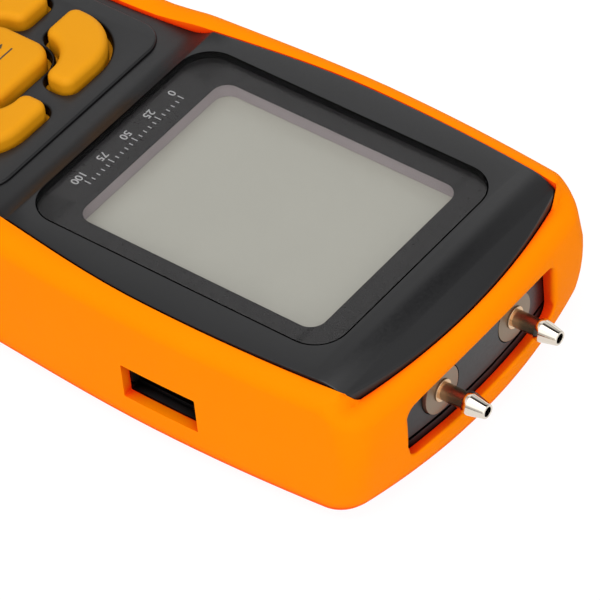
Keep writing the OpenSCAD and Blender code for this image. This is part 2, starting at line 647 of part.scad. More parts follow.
module screw(r, head_r, head_t, length) {
    cylinder(h = length, r = r);
    translate([0, 0, -head_t]) difference() {
        cylinder(h = head_t, r = head_r);
        translate([0, 0, -cut]) for (a = [0, 90]) rotate(a) box([head_r, head_r / 4, head_t], [0, 0, cut]);
    }
}
module case_screws() color("silver") for (p = case_bosses)
    translate([p.x, p.y, casing_base + head_recess + screw_head_t])
        screw(screw_r, screw_head_r, screw_head_t, part_z - casing_base - head_recess - screw_head_t + screw_grip);
module board_screws() color("silver") {
    for (p = board_bosses) translate([p.x, p.y, board_under - touch])
        screw(small_screw_r, small_head_r, small_head_t, board_t + small_grip - touch);
    for (s = [-1, 1]) translate([sub_x - sub_w + sub_screw_in, side_win_y + s * (sub_len / 2 - sub_screw_in), sub_z + touch])
        rotate([180, 0, 0]) screw(small_screw_r, small_head_r, small_head_t, sub_t + small_grip - touch);
}

module display_lens() color([0.75, 0.8, 0.78, 0.4]) translate([0, lens_y, 0]) slab(lens_w, lens_len, lens_corner, level - lens_t, level);
module lens_mask() color("#333335") translate([0, lens_y, level - lens_t - mask_t]) linear_extrude(mask_t) difference() {
    round_rect(lens_w, lens_len, lens_corner);
    translate([0, view_off]) round_rect(view_w, view_len, view_corner);
}
module lens_tape() color("dimgray") translate([0, lens_y, level - lens_seat]) linear_extrude(tape_t) difference() {
    round_rect(lens_w - touch, lens_len - touch, lens_corner);
    round_rect(lens_w - 2 * tape_in, lens_len - 2 * tape_in, lens_corner);
}
module lcd_frame() color("#7d7678") translate([0, view_y, 0]) difference() {
    union() {
        slab(collar_w, collar_len, view_corner + frame_wall, ceiling_z - touch, level - lens_t - mask_t - touch);
        slab(collar_w + 2 * flange_out, collar_len + 2 * flange_out, view_corner, board_z, ceiling_z - touch);
    }
    slab(view_w + 2 * seam, view_len + 2 * seam, view_corner, board_z, level);
    slab(view_w + 2 * glass_margin + 2 * touch, view_len + 2 * glass_margin + 2 * touch, glass_margin, board_z - cut, level - view_depth);
}
module lcd_glass() color("#b0b3a6") translate([0, view_y, 0])
    slab(view_w + 2 * glass_margin, view_len + 2 * glass_margin, glass_margin, level - view_depth - touch - glass_t, level - view_depth - touch);
light_z = level - view_depth - 2 * touch - glass_t;
module lcd_backlight() color("white") translate([0, view_y, 0])
    box([view_w + 2 * glass_margin, view_len + 2 * glass_margin - 2 * light_short, light_z - board_z], [0, 0, (light_z + board_z) / 2]);
module elastomer_strips() color("lightpink") for (s = [-1, 1])
    box([view_w, strip_w, light_z - board_z], [0, view_y + s * (view_len / 2 + glass_margin - light_short / 2), (light_z + board_z) / 2]);

board_up = 35.2;
board_low = 94.6;
board_corner = 3;
module main_board() color("darkgreen") difference() {
    translate([0, lens_y + (board_up - board_low) / 2, 0]) slab(2 * board_half, board_up + board_low, board_corner, board_under, board_z);
    for (p = board_bosses) translate([p.x, p.y, board_under - cut]) cylinder(h = board_t + 2 * cut, r = small_screw_r + lip_gap);
}
chip_w = 12;
chip_t = 1.4;
chip_in = 12.4;       // from the board's edge to the chip's middle
chip_x = chip_in - board_half;
chip_off = 8;
chip_y = lens_y - chip_off;
lead_t = 0.3;
lead_pitch = 1.27;
lead_out = 0.9;
module microcontroller() color("#222222") {
    box([chip_w, chip_w, chip_t], [chip_x, chip_y, board_under - touch - lead_t - chip_t / 2]);
    for (a = [0 : 90 : 270], i = [-3 : 3]) translate([chip_x, chip_y, 0]) rotate(a)
        box([lead_out, lead_t, chip_t], [chip_w / 2 + lead_out / 2 - lead_t / 2, i * lead_pitch, board_under - touch - chip_t / 2]);
}
// Parts on the underside of the board: place, footprint and height as shares of the chip's width
component_shares = [[-0.3, 0.4, 0.55, 0.4, 0.3], [1.6, -0.4, 0.35, 0.35, 0.45], [1.6, -1.2, 0.35, 0.35, 0.45], [-1.4, -2, 0.4, 0.8, 0.28],
    [-0.4, -1.9, 0.7, 0.35, 0.16], [0.7, -2, 0.3, 0.6, 0.2], [1.5, -2.1, 0.5, 0.3, 0.2], [-1.6, 1.7, 0.4, 0.4, 0.3], [1.6, 2.4, 0.4, 0.3, 0.25]];
module board_components() color("#8a6f3a") for (c = component_shares)
    box([c[2] * chip_w, c[3] * chip_w, c[4] * chip_w], [c[0] * chip_w, lens_y + c[1] * chip_w, board_under - touch - c[4] * chip_w / 2]);

module pressure_sensor() color("#d8d4c8") {
    box([sensor_w, sensor_len, sensor_h], [0, lens_y + sensor_front - sensor_len / 2, board_under - touch - sensor_h / 2]);
    for (s = [-1, 1]) along_y(s * port_x, barb_z) difference() {
        union() {
            translate([0, 0, sensor_front - touch]) cylinder(h = sensor_port_len, r = spigot_r);
            translate([0, 0, sensor_front - touch]) cylinder(h = tube_start - sensor_front, r = sensor_boss_r);
        }
        translate([0, 0, sensor_front]) cylinder(h = sensor_port_len + cut, r = barb_bore_d / 2 - 2 * fit);
    }
}

// A ring of points round each point of a path
function tangent(p, i) = let (a = p[max(0, i - 1)], b = p[min(len(p) - 1, i + 1)]) (b - a) / norm(b - a);
function hoop(p, i, r, sides, ref) =
    let (t = tangent(p, i), u0 = cross(t, ref), u = u0 / norm(u0), v = cross(t, u))
    [for (k = [0 : sides - 1]) p[i] + r * (u * cos(360 * k / sides) + v * sin(360 * k / sides))];
module sweep(p, r, sides, ref) {
    n = len(p);
    points = [for (i = [0 : n - 1]) each hoop(p, i, r, sides, ref)];
    faces = concat(
        [[for (k = [sides - 1 : -1 : 0]) k]],
        [[for (k = [0 : sides - 1]) (n - 1) * sides + k]],
        [for (i = [0 : n - 2], k = [0 : sides - 1]) let (j = (k + 1) % sides, a = i * sides + k, b = i * sides + j, c = a + sides, d = b + sides)
            each [[a, b, d], [a, d, c]]]);
    polyhedron(points = points, faces = faces, convexity = 6);
}
function tube_path(s) = concat(
    [[s * port_x, lens_y + tube_start, barb_z]],
    [for (i = [0 : tube_rings]) let (t = i / tube_rings)
        [s * lerp(port_x, barb_pitch / 2, blend(t)), lens_y + lerp(tube_bend_from, tube_bend_to, t), barb_z]],
    [[s * barb_pitch / 2, lens_y + tube_stop, barb_z]]);
// The tube's outer and bore surfaces as one closed skin
module sensor_tube(s) color([0.85, 0.85, 0.8]) {
    p = tube_path(s);
    n = len(p);
    m = tube_sides;
    points = concat([for (i = [0 : n - 1]) each hoop(p, i, tube_r, m, [0, 0, 1])],
                    [for (i = [n - 1 : -1 : 0]) each hoop(p, i, tube_bore, m, [0, 0, 1])]);
    faces = [for (i = [0 : 2 * n - 1], k = [0 : m - 1])
        let (j = (k + 1) % m, i2 = (i + 1) % (2 * n), a = i * m + k, b = i * m + j, c = i2 * m + k, d = i2 * m + j)
        each [[a, b, d], [a, d, c]]];
    polyhedron(points = points, faces = faces, convexity = 6);
}

module hose_barb(s) color("#d8cfc0") along_y(s * barb_pitch / 2, barb_z) rotate_extrude() polygon([
    [barb_bore_d / 2, spigot_end], [spigot_r, spigot_end], [spigot_r, shank_end], [shank_r, shank_end],
    [shank_r, flange_face - flange_t], [flange_d / 2, flange_face - flange_t], [flange_d / 2, flange_face],
    [collar_r, flange_face], [collar_r, flange_face + collar_t], [barb_shaft_d / 2, flange_face + collar_t],
    [barb_shaft_d / 2, barb_tip - cone_len], [barb_d / 2, barb_tip - cone_len], [barb_d / 2, barb_tip - cone_len + cone_land],
    [cone_tip_d / 2, barb_tip - tip_round], [cone_tip_d / 2 - tip_round, barb_tip], [barb_bore_d / 2, barb_tip]]);
module barb_nuts() color("#c9b27a") for (s = [-1, 1]) along_y(s * barb_pitch / 2, barb_z)
    translate([0, 0, port_boss_back - nut_t - touch]) difference() {
        cylinder(h = nut_t, d = nut_af / cos(30), $fn = 6);
        translate([0, 0, -cut]) cylinder(h = nut_t + 2 * cut, r = shank_r + fit);
    }
module barb_seals() color("#1c1c1c") for (s = [-1, 1]) along_y(s * barb_pitch / 2, barb_z)
    translate([0, 0, bore_floor + seal_r + touch]) rotate_extrude() translate([seal_ring_r, 0]) circle(seal_r, $fn = 24);

module socket_board() color("darkgreen") difference() {
    box([sub_w, sub_len, sub_t], [sub_x - sub_w / 2, side_win_y, sub_z - sub_t / 2]);
    for (s = [-1, 1]) translate([sub_x - sub_w + sub_screw_in, side_win_y + s * (sub_len / 2 - sub_screw_in), sub_z - sub_t - cut])
        cylinder(h = sub_t + 2 * cut, r = small_screw_r + lip_gap);
}
module usb_socket() color("lightgray") translate([socket_x, side_win_y, sub_z + touch + socket_h / 2]) {
    difference() {
        box([socket_len, socket_w, socket_h], [-socket_len / 2, 0, 0]);
        box([socket_deep + cut, socket_w - 2 * socket_wall, socket_h - 2 * socket_wall], [cut / 2 - socket_deep / 2, 0, 0]);
    }
    box([socket_deep, tongue_w, tongue_h], [-socket_deep / 2 - socket_wall, 0, 0]);
}
module board_header() color("#1a1a1a")
    box([header_w, header_len, board_under - sub_z - 2 * touch], [sub_x - sub_w + header_in, side_win_y, (board_under + sub_z) / 2]);

module key_mat() color("#33302e") difference() {
    translate([0, (key_y + ring_len / 2 + power_y - power_len / 2) / 2, 0])
        slab(ring_w + 2 * key_flange_out, ring_len / 2 + power_len / 2 + key_y - power_y + 2 * key_flange_out, key_corner, mat_z, mat_z + mat_t);
    for (i = [0 : len(KEYS) - 1]) translate([key_mid(i).x, key_mid(i).y, mat_z - cut]) cylinder(h = mat_t + 2 * cut, r = stem_r + lip_gap);
}
module key_cap(i) color("orange") {
    m = key_mid(i);
    stack(concat([[key_points(i, -key_flange_out), cap_z], [key_points(i, -key_flange_out), cap_z + key_flange_t],
                  [key_points(i, 0), cap_z + key_flange_t]],
        [for (k = [0 : key_round_steps]) let (a = 90 * k / key_round_steps)
            [key_points(i, key_round * (1 - cos(a))), key_top - key_round * (1 - sin(a))]]));
    translate([m.x, m.y, pill_z + pill_t]) cylinder(h = cap_z - pill_z - pill_t + key_flange_t / 2, r = stem_r);
}
module key_skirt(i) color("sandybrown") translate([0, 0, skirt_z]) linear_extrude(skirt_h) difference() {
    grown_key(i, -skirt_in);
    grown_key(i, -skirt_in - skirt_t);
}
module key_pill(i) color("#111111") translate([key_mid(i).x, key_mid(i).y, pill_z]) cylinder(h = pill_t, r = pill_r);

// Places a cell or its contact along the bay, every other one turned end for end
module in_bay(i) translate([(i - (cells + 1) / 2) * cell_pitch, bay_mid_y, cell_z]) rotate([i % 2 == 0 ? 90 : -90, 0, 0]) children();
module battery(i) color("#c8c8cc") in_bay(i) translate([0, 0, cell_start]) {
    cylinder(h = cell_len - cell_nub, r = cell_d / 2);
    cylinder(h = cell_len, r = cell_nub_r);
}
module battery_springs() color("silver") for (i = [1 : cells]) in_bay(i) translate([0, 0, cell_start - touch - spring_len])
    rotate_extrude() polygon([[0, 0], [cell_d / 2 - 1.5 * bay_spare, 0], [cell_nub_r, spring_len], [0, spring_len]]);
module battery_plates() color("silver") {
    for (i = [1 : cells], y = [bay_low_y + touch + plate_t / 2, bay_high_y - touch - plate_t / 2])
        box([plate_w, plate_t, plate_h], [(i - (cells + 1) / 2) * cell_pitch, y, cell_z]);
    for (x = wire_x) box([tab_w, tab_out, plate_t], [x, bay_high_y - touch - plate_t + tab_out / 2, wire_z]);
}
wire_from = bay_high_y - plate_t + tab_out;
function wire_path(x) = [for (k = [0 : len(wire_end_share) - 1])
    [x, wire_from + wire_run * wire_end_share[k], lerp(wire_z, board_under - touch, wire_lift_share[k])]];
module battery_wire(i) color(i == 0 ? "red" : "black") sweep(wire_path(wire_x[i]), wire_r, 8, [1, 0, 0]);

module battery_door() color("#2c2c2e") {
    difference() {
        union() {
            box([door_w, door_end - hinge_y, door_t], [0, (door_end + hinge_y) / 2, hinge_z]);
            translate([0, hinge_y, hinge_z]) rotate([0, 90, 0]) {
                cylinder(h = door_w, r = door_t / 2, center = true);
                cylinder(h = door_w + 2 * hinge_len, r = hinge_r, center = true);
            }
        }
        // Finger grip at the free end
        translate([0, door_end - cell_d, casing_base - cell_d / 2 + door_t / 3]) rotate([0, 90, 0])
            cylinder(h = cell_d, r = cell_d / 2, center = true);
    }
}
module door_pad() color("#4a4a4a") box([bay_w - 4 * bay_spare, cell_len - cell_d, pad_t - touch],
    [0, bay_mid_y, casing_floor + touch + (pad_t - touch) / 2]);

protective_boot();
front_casing();
rear_casing();
case_screws();
display_lens();
lens_mask();
lens_tape();
lcd_frame();
lcd_glass();
lcd_backlight();
elastomer_strips();
main_board();
board_screws();
microcontroller();
board_components();
pressure_sensor();
sensor_tube(-1);  // sensor_tube_left
sensor_tube(1);  // sensor_tube_right
hose_barb(-1);  // hose_barb_left
hose_barb(1);  // hose_barb_right
barb_nuts();
barb_seals();
socket_board();
usb_socket();
board_header();
key_mat();
battery_springs();
battery_plates();
battery_wire(0);  // battery_wire_red
battery_wire(1);  // battery_wire_black
battery_door();
door_pad();
for (i = [1 : cells]) battery(i);
for (i = [0 : len(KEYS) - 1]) {
    key_cap(i);
    key_skirt(i);
    key_pill(i);
}
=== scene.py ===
import json
import math

import bmesh
import bpy
from mathutils import Matrix, Vector


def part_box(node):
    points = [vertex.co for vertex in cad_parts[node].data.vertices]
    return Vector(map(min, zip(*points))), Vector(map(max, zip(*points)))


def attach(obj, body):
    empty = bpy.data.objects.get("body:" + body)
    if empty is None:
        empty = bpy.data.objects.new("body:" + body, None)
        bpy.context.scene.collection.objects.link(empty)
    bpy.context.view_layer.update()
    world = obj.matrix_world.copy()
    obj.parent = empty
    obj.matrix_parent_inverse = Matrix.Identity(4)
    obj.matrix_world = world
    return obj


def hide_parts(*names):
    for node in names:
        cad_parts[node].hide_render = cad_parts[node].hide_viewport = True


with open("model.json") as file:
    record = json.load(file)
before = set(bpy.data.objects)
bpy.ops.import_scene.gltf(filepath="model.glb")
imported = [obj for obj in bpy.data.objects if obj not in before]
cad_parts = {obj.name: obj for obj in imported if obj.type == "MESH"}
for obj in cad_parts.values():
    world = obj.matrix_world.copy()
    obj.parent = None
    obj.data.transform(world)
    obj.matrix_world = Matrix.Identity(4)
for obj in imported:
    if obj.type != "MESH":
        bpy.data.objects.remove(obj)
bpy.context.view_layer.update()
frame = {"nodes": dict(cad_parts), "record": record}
nodes = frame["nodes"]

# Lengths are in millimetres, and MM turns them into metres. The lens's place, the floor's half and
# the lamp's place and size are in metres
MM = 0.001
LEVEL = 32.0
LENS_W = 54.0
LENS_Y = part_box("display_lens")[0].y / 2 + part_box("display_lens")[1].y / 2
LENS_C = Vector((0.0, LENS_Y, LEVEL * MM))
KEYS = ("center", "upper_left", "upper_right", "lower_left", "lower_right", "power")


# Node helpers
def new_material(name):
    mat = bpy.data.materials.new(name)
    mat.use_nodes = True
    nt = mat.node_tree
    return mat, nt, nt.nodes["Principled BSDF"]


def link(nt, a, b):
    nt.links.new(a, b)


def noise(nt, scale, detail=3.0, rough=0.55, stretch=(1.0, 1.0, 1.0)):
    coord = nt.nodes.new("ShaderNodeTexCoord")
    mapping = nt.nodes.new("ShaderNodeMapping")
    mapping.inputs["Scale"].default_value = stretch
    tex = nt.nodes.new("ShaderNodeTexNoise")
    tex.inputs["Scale"].default_value = scale
    tex.inputs["Detail"].default_value = detail
    tex.inputs["Roughness"].default_value = rough
    link(nt, coord.outputs["Object"], mapping.inputs["Vector"])
    link(nt, mapping.outputs["Vector"], tex.inputs["Vector"])
    return tex.outputs["Fac"]


def ramp(nt, fac, low, high, start=0.3, end=0.7):
    node = nt.nodes.new("ShaderNodeValToRGB")
    node.color_ramp.elements[0].position = start
    node.color_ramp.elements[1].position = end
    node.color_ramp.elements[0].color = (*low, 1.0)
    node.color_ramp.elements[1].color = (*high, 1.0)
    link(nt, fac, node.inputs["Fac"])
    return node.outputs["Color"]


def spread(nt, fac, low, high, start=0.3, end=0.7):
    node = nt.nodes.new("ShaderNodeMapRange")
    node.inputs["From Min"].default_value = start
    node.inputs["From Max"].default_value = end
    node.inputs["To Min"].default_value = low
    node.inputs["To Max"].default_value = high
    link(nt, fac, node.inputs["Value"])
    return node.outputs["Result"]


def bump(nt, height, strength, distance):
    node = nt.nodes.new("ShaderNodeBump")
    node.inputs["Strength"].default_value = strength
    node.inputs["Distance"].default_value = distance
    link(nt, height, node.inputs["Height"])
    return node.outputs["Normal"]


ROUGH_VARY = 0.12
GRAIN_STRENGTH = 0.6
# Share of the specular level left where the painted shade in recesses is full, and the samples used to find
# recesses
RECESS_SHADE_SPEC = 0.1
RECESS_SAMPLES = 8


def paint_recess_shade(nt, color, shade_color, reach, start, end):
    """Paints shade into recesses: turns the colour towards the shade colour where other walls stand within
    reach.

    start and end are the shares of open sky at which the painted shade is whole and at which it is gone.
    """
    near = nt.nodes.new("ShaderNodeAmbientOcclusion")
    near.inputs["Distance"].default_value = reach * MM
    near.samples = RECESS_SAMPLES
    ease = spread(nt, near.outputs["AO"], 0.0, 1.0, start, end)
    mix = nt.nodes.new("ShaderNodeMix")
    mix.data_type = "RGBA"
    mix.inputs[6].default_value = (*shade_color, 1.0)
    link(nt, ease, mix.inputs[0])
    link(nt, color, mix.inputs[7])
    return mix.outputs[2], ease


def surface(name, color, rough, vary=0.06, grain=900.0, depth=0.02, metal=0.0, spec=0.5,
            coat=0.0, coat_rough=0.1, sheen=0.0, patch=60.0, stretch=(1.0, 1.0, 1.0), recess_shade=None):
    """A moulded, cast or plated surface: soft patches of tone, fine grain in bump and roughness, and, where
    asked for, painted shade in recesses.
    """
    mat, nt, bsdf = new_material(name)
    low = tuple(c * (1 - vary) for c in color)
    high = tuple(min(1.0, c * (1 + vary)) for c in color)
    tone = ramp(nt, noise(nt, patch, 4.0), low, high)
    bsdf.inputs["Specular IOR Level"].default_value = spec
    # Painted shade in recesses: darker colour and a lower specular level where other walls stand close
    if recess_shade is not None:
        tone, ease = paint_recess_shade(nt, tone, *recess_shade)
        link(nt, spread(nt, ease, spec * RECESS_SHADE_SPEC, spec, 0.0, 1.0), bsdf.inputs["Specular IOR Level"])
    link(nt, tone, bsdf.inputs["Base Color"])
    fine = noise(nt, grain, 2.0, 0.6, stretch)
    link(nt, spread(nt, fine, rough * (1 - ROUGH_VARY), rough * (1 + ROUGH_VARY)), bsdf.inputs["Roughness"])
    link(nt, bump(nt, fine, GRAIN_STRENGTH, depth * MM), bsdf.inputs["Normal"])
    bsdf.inputs["Metallic"].default_value = metal
    bsdf.inputs["Coat Weight"].default_value = coat
    bsdf.inputs["Coat Roughness"].default_value = coat_rough
    bsdf.inputs["Sheen Weight"].default_value = sheen
    return mat


# Each row: colour, roughness, change of tone, scale of the grain and its depth; where a row has a last entry,
# it is painted shade in recesses: its colour, its reach, and the open-sky shares at which it is whole and
# gone
M = {
    "boot": surface("boot_rubber", (0.97, 0.238, 0.0), 0.6, 0.015, 1500.0, 0.004, spec=0.02,
                    recess_shade=((0.97, 0.040, 0.003), 6.0, 0.55, 0.93)),
    "casing": surface("casing_plastic", (0.0085, 0.0085, 0.0092), 0.34, 0.08, 1800.0, 0.006, spec=0.39,
                      recess_shade=((0.001, 0.0007, 0.0007), 5.0, 0.35, 0.85)),
    "casing_back": surface("casing_back_plastic", (0.014, 0.014, 0.015), 0.5, 0.08, 1300.0, 0.014,
                           recess_shade=((0.001, 0.0007, 0.0007), 6.0, 0.55, 0.97)),
    "mask": surface("mask_print", (0.016, 0.0145, 0.015), 0.3, 0.05, 2500.0, 0.002),
    "tape": surface("tape_foam", (0.02, 0.02, 0.02), 0.9, 0.1, 700.0, 0.05),
    "frame": surface("frame_plastic", (0.42, 0.37, 0.385), 0.6, 0.05, 1400.0, 0.01),
    "display": surface("display_face", (0.53, 0.52, 0.455), 0.35, 0.02, 3000.0, 0.001, patch=25.0),
    "light": surface("light_panel", (0.8, 0.82, 0.8), 0.4, 0.02, 900.0, 0.005),
    "strip": surface("contact_strip", (0.6, 0.36, 0.34), 0.7, 0.08, 1200.0, 0.01),
    "board": surface("board_lacquer", (0.015, 0.13, 0.045), 0.35, 0.2, 500.0, 0.01, coat=0.4,
                     recess_shade=((0.001, 0.003, 0.001), 8.0, 0.6, 1.0)),
    "chip": surface("chip_resin", (0.012, 0.012, 0.012), 0.6, 0.1, 1500.0, 0.01),
    "screw": surface("screw_plate", (0.6, 0.59, 0.57), 0.3, 0.06, 1200.0, 0.006, metal=1.0),
    "sensor": surface("sensor_moulding", (0.55, 0.53, 0.47), 0.5, 0.05, 1100.0, 0.01),
    "tube": surface("tube_silicone", (0.7, 0.69, 0.62), 0.35, 0.04, 700.0, 0.006, sheen=0.2),
    "nickel": surface("barb_nickel", (0.72, 0.655, 0.565), 0.10, 0.04, 1600.0, 0.002, metal=1.0),
    "nut": surface("nut_brass", (0.6, 0.44, 0.2), 0.28, 0.07, 1300.0, 0.006, metal=1.0),
    "seal": surface("seal_rubber", (0.012, 0.012, 0.012), 0.55, 0.1, 1500.0, 0.008),
    "socket": surface("socket_shell", (0.03, 0.03, 0.032), 0.4, 0.08, 1500.0, 0.004, metal=0.4,
                      recess_shade=((0.001, 0.001, 0.001), 8.0, 0.6, 1.0)),
    "header": surface("header_moulding", (0.012, 0.012, 0.012), 0.5, 0.1, 1400.0, 0.008),
    "mat": surface("mat_rubber", (0.05, 0.04, 0.035), 0.7, 0.1, 1200.0, 0.01),
    "key": surface("key_rubber", (0.70, 0.285, 0.006), 0.55, 0.02, 1600.0, 0.004, spec=0.08),
    "skirt": surface("skirt_rubber", (0.8, 0.33, 0.08), 0.6, 0.05, 1300.0, 0.01),
    "pill": surface("pill_carbon", (0.008, 0.008, 0.008), 0.7, 0.15, 1700.0, 0.01),
    "cell": surface("cell_sleeve", (0.35, 0.36, 0.4), 0.32, 0.05, 900.0, 0.004, metal=0.6),
    "contact": surface("contact_plate", (0.62, 0.61, 0.57), 0.3, 0.07, 1300.0, 0.006, metal=1.0),
    "wire_red": surface("wire_red_cover", (0.4, 0.01, 0.01), 0.5, 0.05, 1400.0, 0.006),
    "wire_black": surface("wire_black_cover", (0.012, 0.012, 0.012), 0.5, 0.1, 1400.0, 0.006),
    "print": surface("scale_print", (0.42, 0.42, 0.42), 0.5, 0.05, 2500.0, 0.001),
    "ink": surface("key_ink", (0.06, 0.035, 0.015), 0.5, 0.05, 2500.0, 0.001),
    "foam": surface("foam_cells", (0.05, 0.05, 0.05), 0.95, 0.25, 600.0, 0.15),
}


LENS_GRAIN, LENS_SMOOTH, LENS_DULL, LENS_ALPHA = 300.0, 0.02, 0.05, 0.12


def lens_material():
    """Clear faces, and a cut edge seen from outside made opaque black all round, as painted shade of the seam
    gap around the lens.
    """
    mat, nt, bsdf = new_material("lens_clear")
    link(nt, spread(nt, noise(nt, LENS_GRAIN), LENS_SMOOTH, LENS_DULL), bsdf.inputs["Roughness"])
    bsdf.inputs["Base Color"].default_value = (0.002, 0.002, 0.002, 1.0)
    way = nt.nodes.new("ShaderNodeNewGeometry")
    split = nt.nodes.new("ShaderNodeSeparateXYZ")
    link(nt, way.outputs["True Normal"], split.inputs["Vector"])
    flat = nt.nodes.new("ShaderNodeMath")
    flat.operation = "ABSOLUTE"
    link(nt, split.outputs["Z"], flat.inputs[0])
    clear = nt.nodes.new("ShaderNodeMath")
    clear.operation = "MAXIMUM"
    link(nt, flat.outputs[0], clear.inputs[0])
    link(nt, way.outputs["Backfacing"], clear.inputs[1])
    # The edge's opaque black is painted shade of the seam gap; flat faces and faces seen from inside stay
    # clear
    link(nt, spread(nt, clear.outputs[0], 1.0, LENS_ALPHA, 0.4, 0.6), bsdf.inputs["Alpha"])
    return mat


M["lens"] = lens_material()

slot_of = {s["node"]: s["material_slot"] for s in frame["record"]["subparts"]}
for name, obj in nodes.items():
    obj.data.materials.clear()
    obj.data.materials.append(M[slot_of[name]])


# Camera at the photograph's place, solved in lens widths from the middle of the lens
PHOTO_SIDE = 600
FOCAL_PIXELS = 5263.37
SENSOR = 36.0
RIGHT = Vector((-0.60635809, 0.79176136, -0.07378221))
DOWN = Vector((0.58648928, 0.38262897, -0.71388052))
AHEAD = Vector((-0.5369918, -0.4761397, -0.69636972))
EYE = Vector((9.80842, 8.82319, 12.27870))
cam = bpy.data.objects.new("camera", bpy.data.cameras.new("camera"))
bpy.context.scene.collection.objects.link(cam)
turn = Matrix((RIGHT, -DOWN, -AHEAD)).transposed().to_4x4()
cam.matrix_world = Matrix.Translation(LENS_C + EYE * (LENS_W * MM)) @ turn
cam.data.sensor_width = SENSOR
cam.data.lens = FOCAL_PIXELS / PHOTO_SIDE * SENSOR
cam.data.clip_start = 0.01
cam.data.clip_end = 50.0
bpy.context.scene.camera = cam


# Sizes of the body
BOOT_LEN = 162.0
BOOT_W = 77.8
WAIST_IN = 2.9
SIDE_R = 411.0
END_R = 145.0
BULGE_R = 218.0
LOW_END_R = 101.0
TOP_END_R = 166.0
FLARE = 0.3
LOW_END_IN = 1.2
TOP_END_IN = 0.3
CORNER_R = 9.0
GRIP_CORNER_R = 14.0
BULGE_CORNER_R = 5.7
LOW_CORNER_R = 7.7
BOOT_WALL = 2.2
CASING_IN = 2.3
BASE_R = 6.0
LIP_R = 3.6
LIP_W = 4.3
LIP_WIDER = 2.5
WIDER_RUN = 60.0
BRIDGE_W = 3.3
BRIDGE_R = 136.0
OPENING_CORNER = 0.5
END_EASE = 1.8
TOP_Y = 77.05
BOTTOM_Y = TOP_Y - BOOT_LEN
HALF_W = BOOT_W / 2
LENS_TO_END = 51.2
LENS_MM = TOP_Y - LENS_TO_END
WIDE_Y = LENS_MM + 2.0
WAIST_RUN = 67.0
BULGE_Z = LEVEL - 13.5
# Falls of the top: start, counted from the lens's middle, then run and drop
SLOPE = (38.0, 13.0, 4.2)
RIM = (36.5, 8.5, 3.75)
CHANNEL = (35.5, 5.5, 1.8)
EAR = (39.0, 9.0, 3.7)
GRIP_LIP = (38.0, 12.0, 1.1)
# The ear's start and run at the lip's inner edge, and the lip's run and drop beside the lens
EAR_EDGE = (43.7, 1.0)
LIP_FALL = (43.0, 0.48)
LIP_DROP = 0.14
LIP_EDGE = 0.15
# The last ring of the lip's round stays this much short of the opening
LIP_SHY = 0.05
# Share of a small bevel that its first step takes
FIRST_FALL = 0.3
RIM_DROP = 1.9
LIP_UNDER = 0.4
LIP_GAP = 0.2
EDGE_BEVEL = 0.4
CUT = 1.0
FINE = 14
# Half the gap between the two halves of an outline
MIDDLE_GAP = 0.5


def lerp(a, b, t):
    return a + (b - a) * t


def clamp(t):
    return max(0.0, min(1.0, t))


def blend(t):
    return (1 - math.cos(math.pi * clamp(t))) / 2


def way_down(y, start, run, drop):
    """Depth of a fall towards the barb end, with the step to the keypad's channel at the other end."""
    sink = 1 - (1 - clamp((LENS_MM - CHANNEL[0] - y) / CHANNEL[1])) ** 2
    return drop * blend((y - LENS_MM - start) / run) + CHANNEL[2] * sink


def face_at(y):
    return LEVEL - way_down(y, *SLOPE)


def rim_at(y):
    return LEVEL - RIM_DROP - way_down(y, *RIM)


def lip_at(y, k=0.0):
    """Height of the lip; k goes from 0 at its crest to 1 at its inner edge."""
    start, run = lerp(EAR[0], EAR_EDGE[0], k), lerp(EAR[1], EAR_EDGE[1], k)
    ear = EAR[2] * blend((y - LENS_MM - start) / run)
    fall = LIP_FALL[1] * clamp((y - LENS_MM) / LIP_FALL[0])
    return LEVEL - LIP_DROP - fall - ear - GRIP_LIP[2] * blend((LENS_MM - GRIP_LIP[0] - y) / GRIP_LIP[1])


def side_x(y, si, wide=0.0):
    if y > WIDE_Y:
        return HALF_W - SIDE_R + math.sqrt((SIDE_R - si) ** 2 - (y - WIDE_Y) ** 2)
    return HALF_W - si - WAIST_IN * blend((WIDE_Y - y) / WAIST_RUN) - wide * blend((LENS_MM - y) / WIDER_RUN)


def arc(cx, cy, r, a0, a1, n, ease=1.0):
    turns = [lerp(a0, a1, (i / n) ** ease) for i in range(n + 1)]
    return [(cx + r * math.cos(a), cy + r * math.sin(a)) for a in turns]


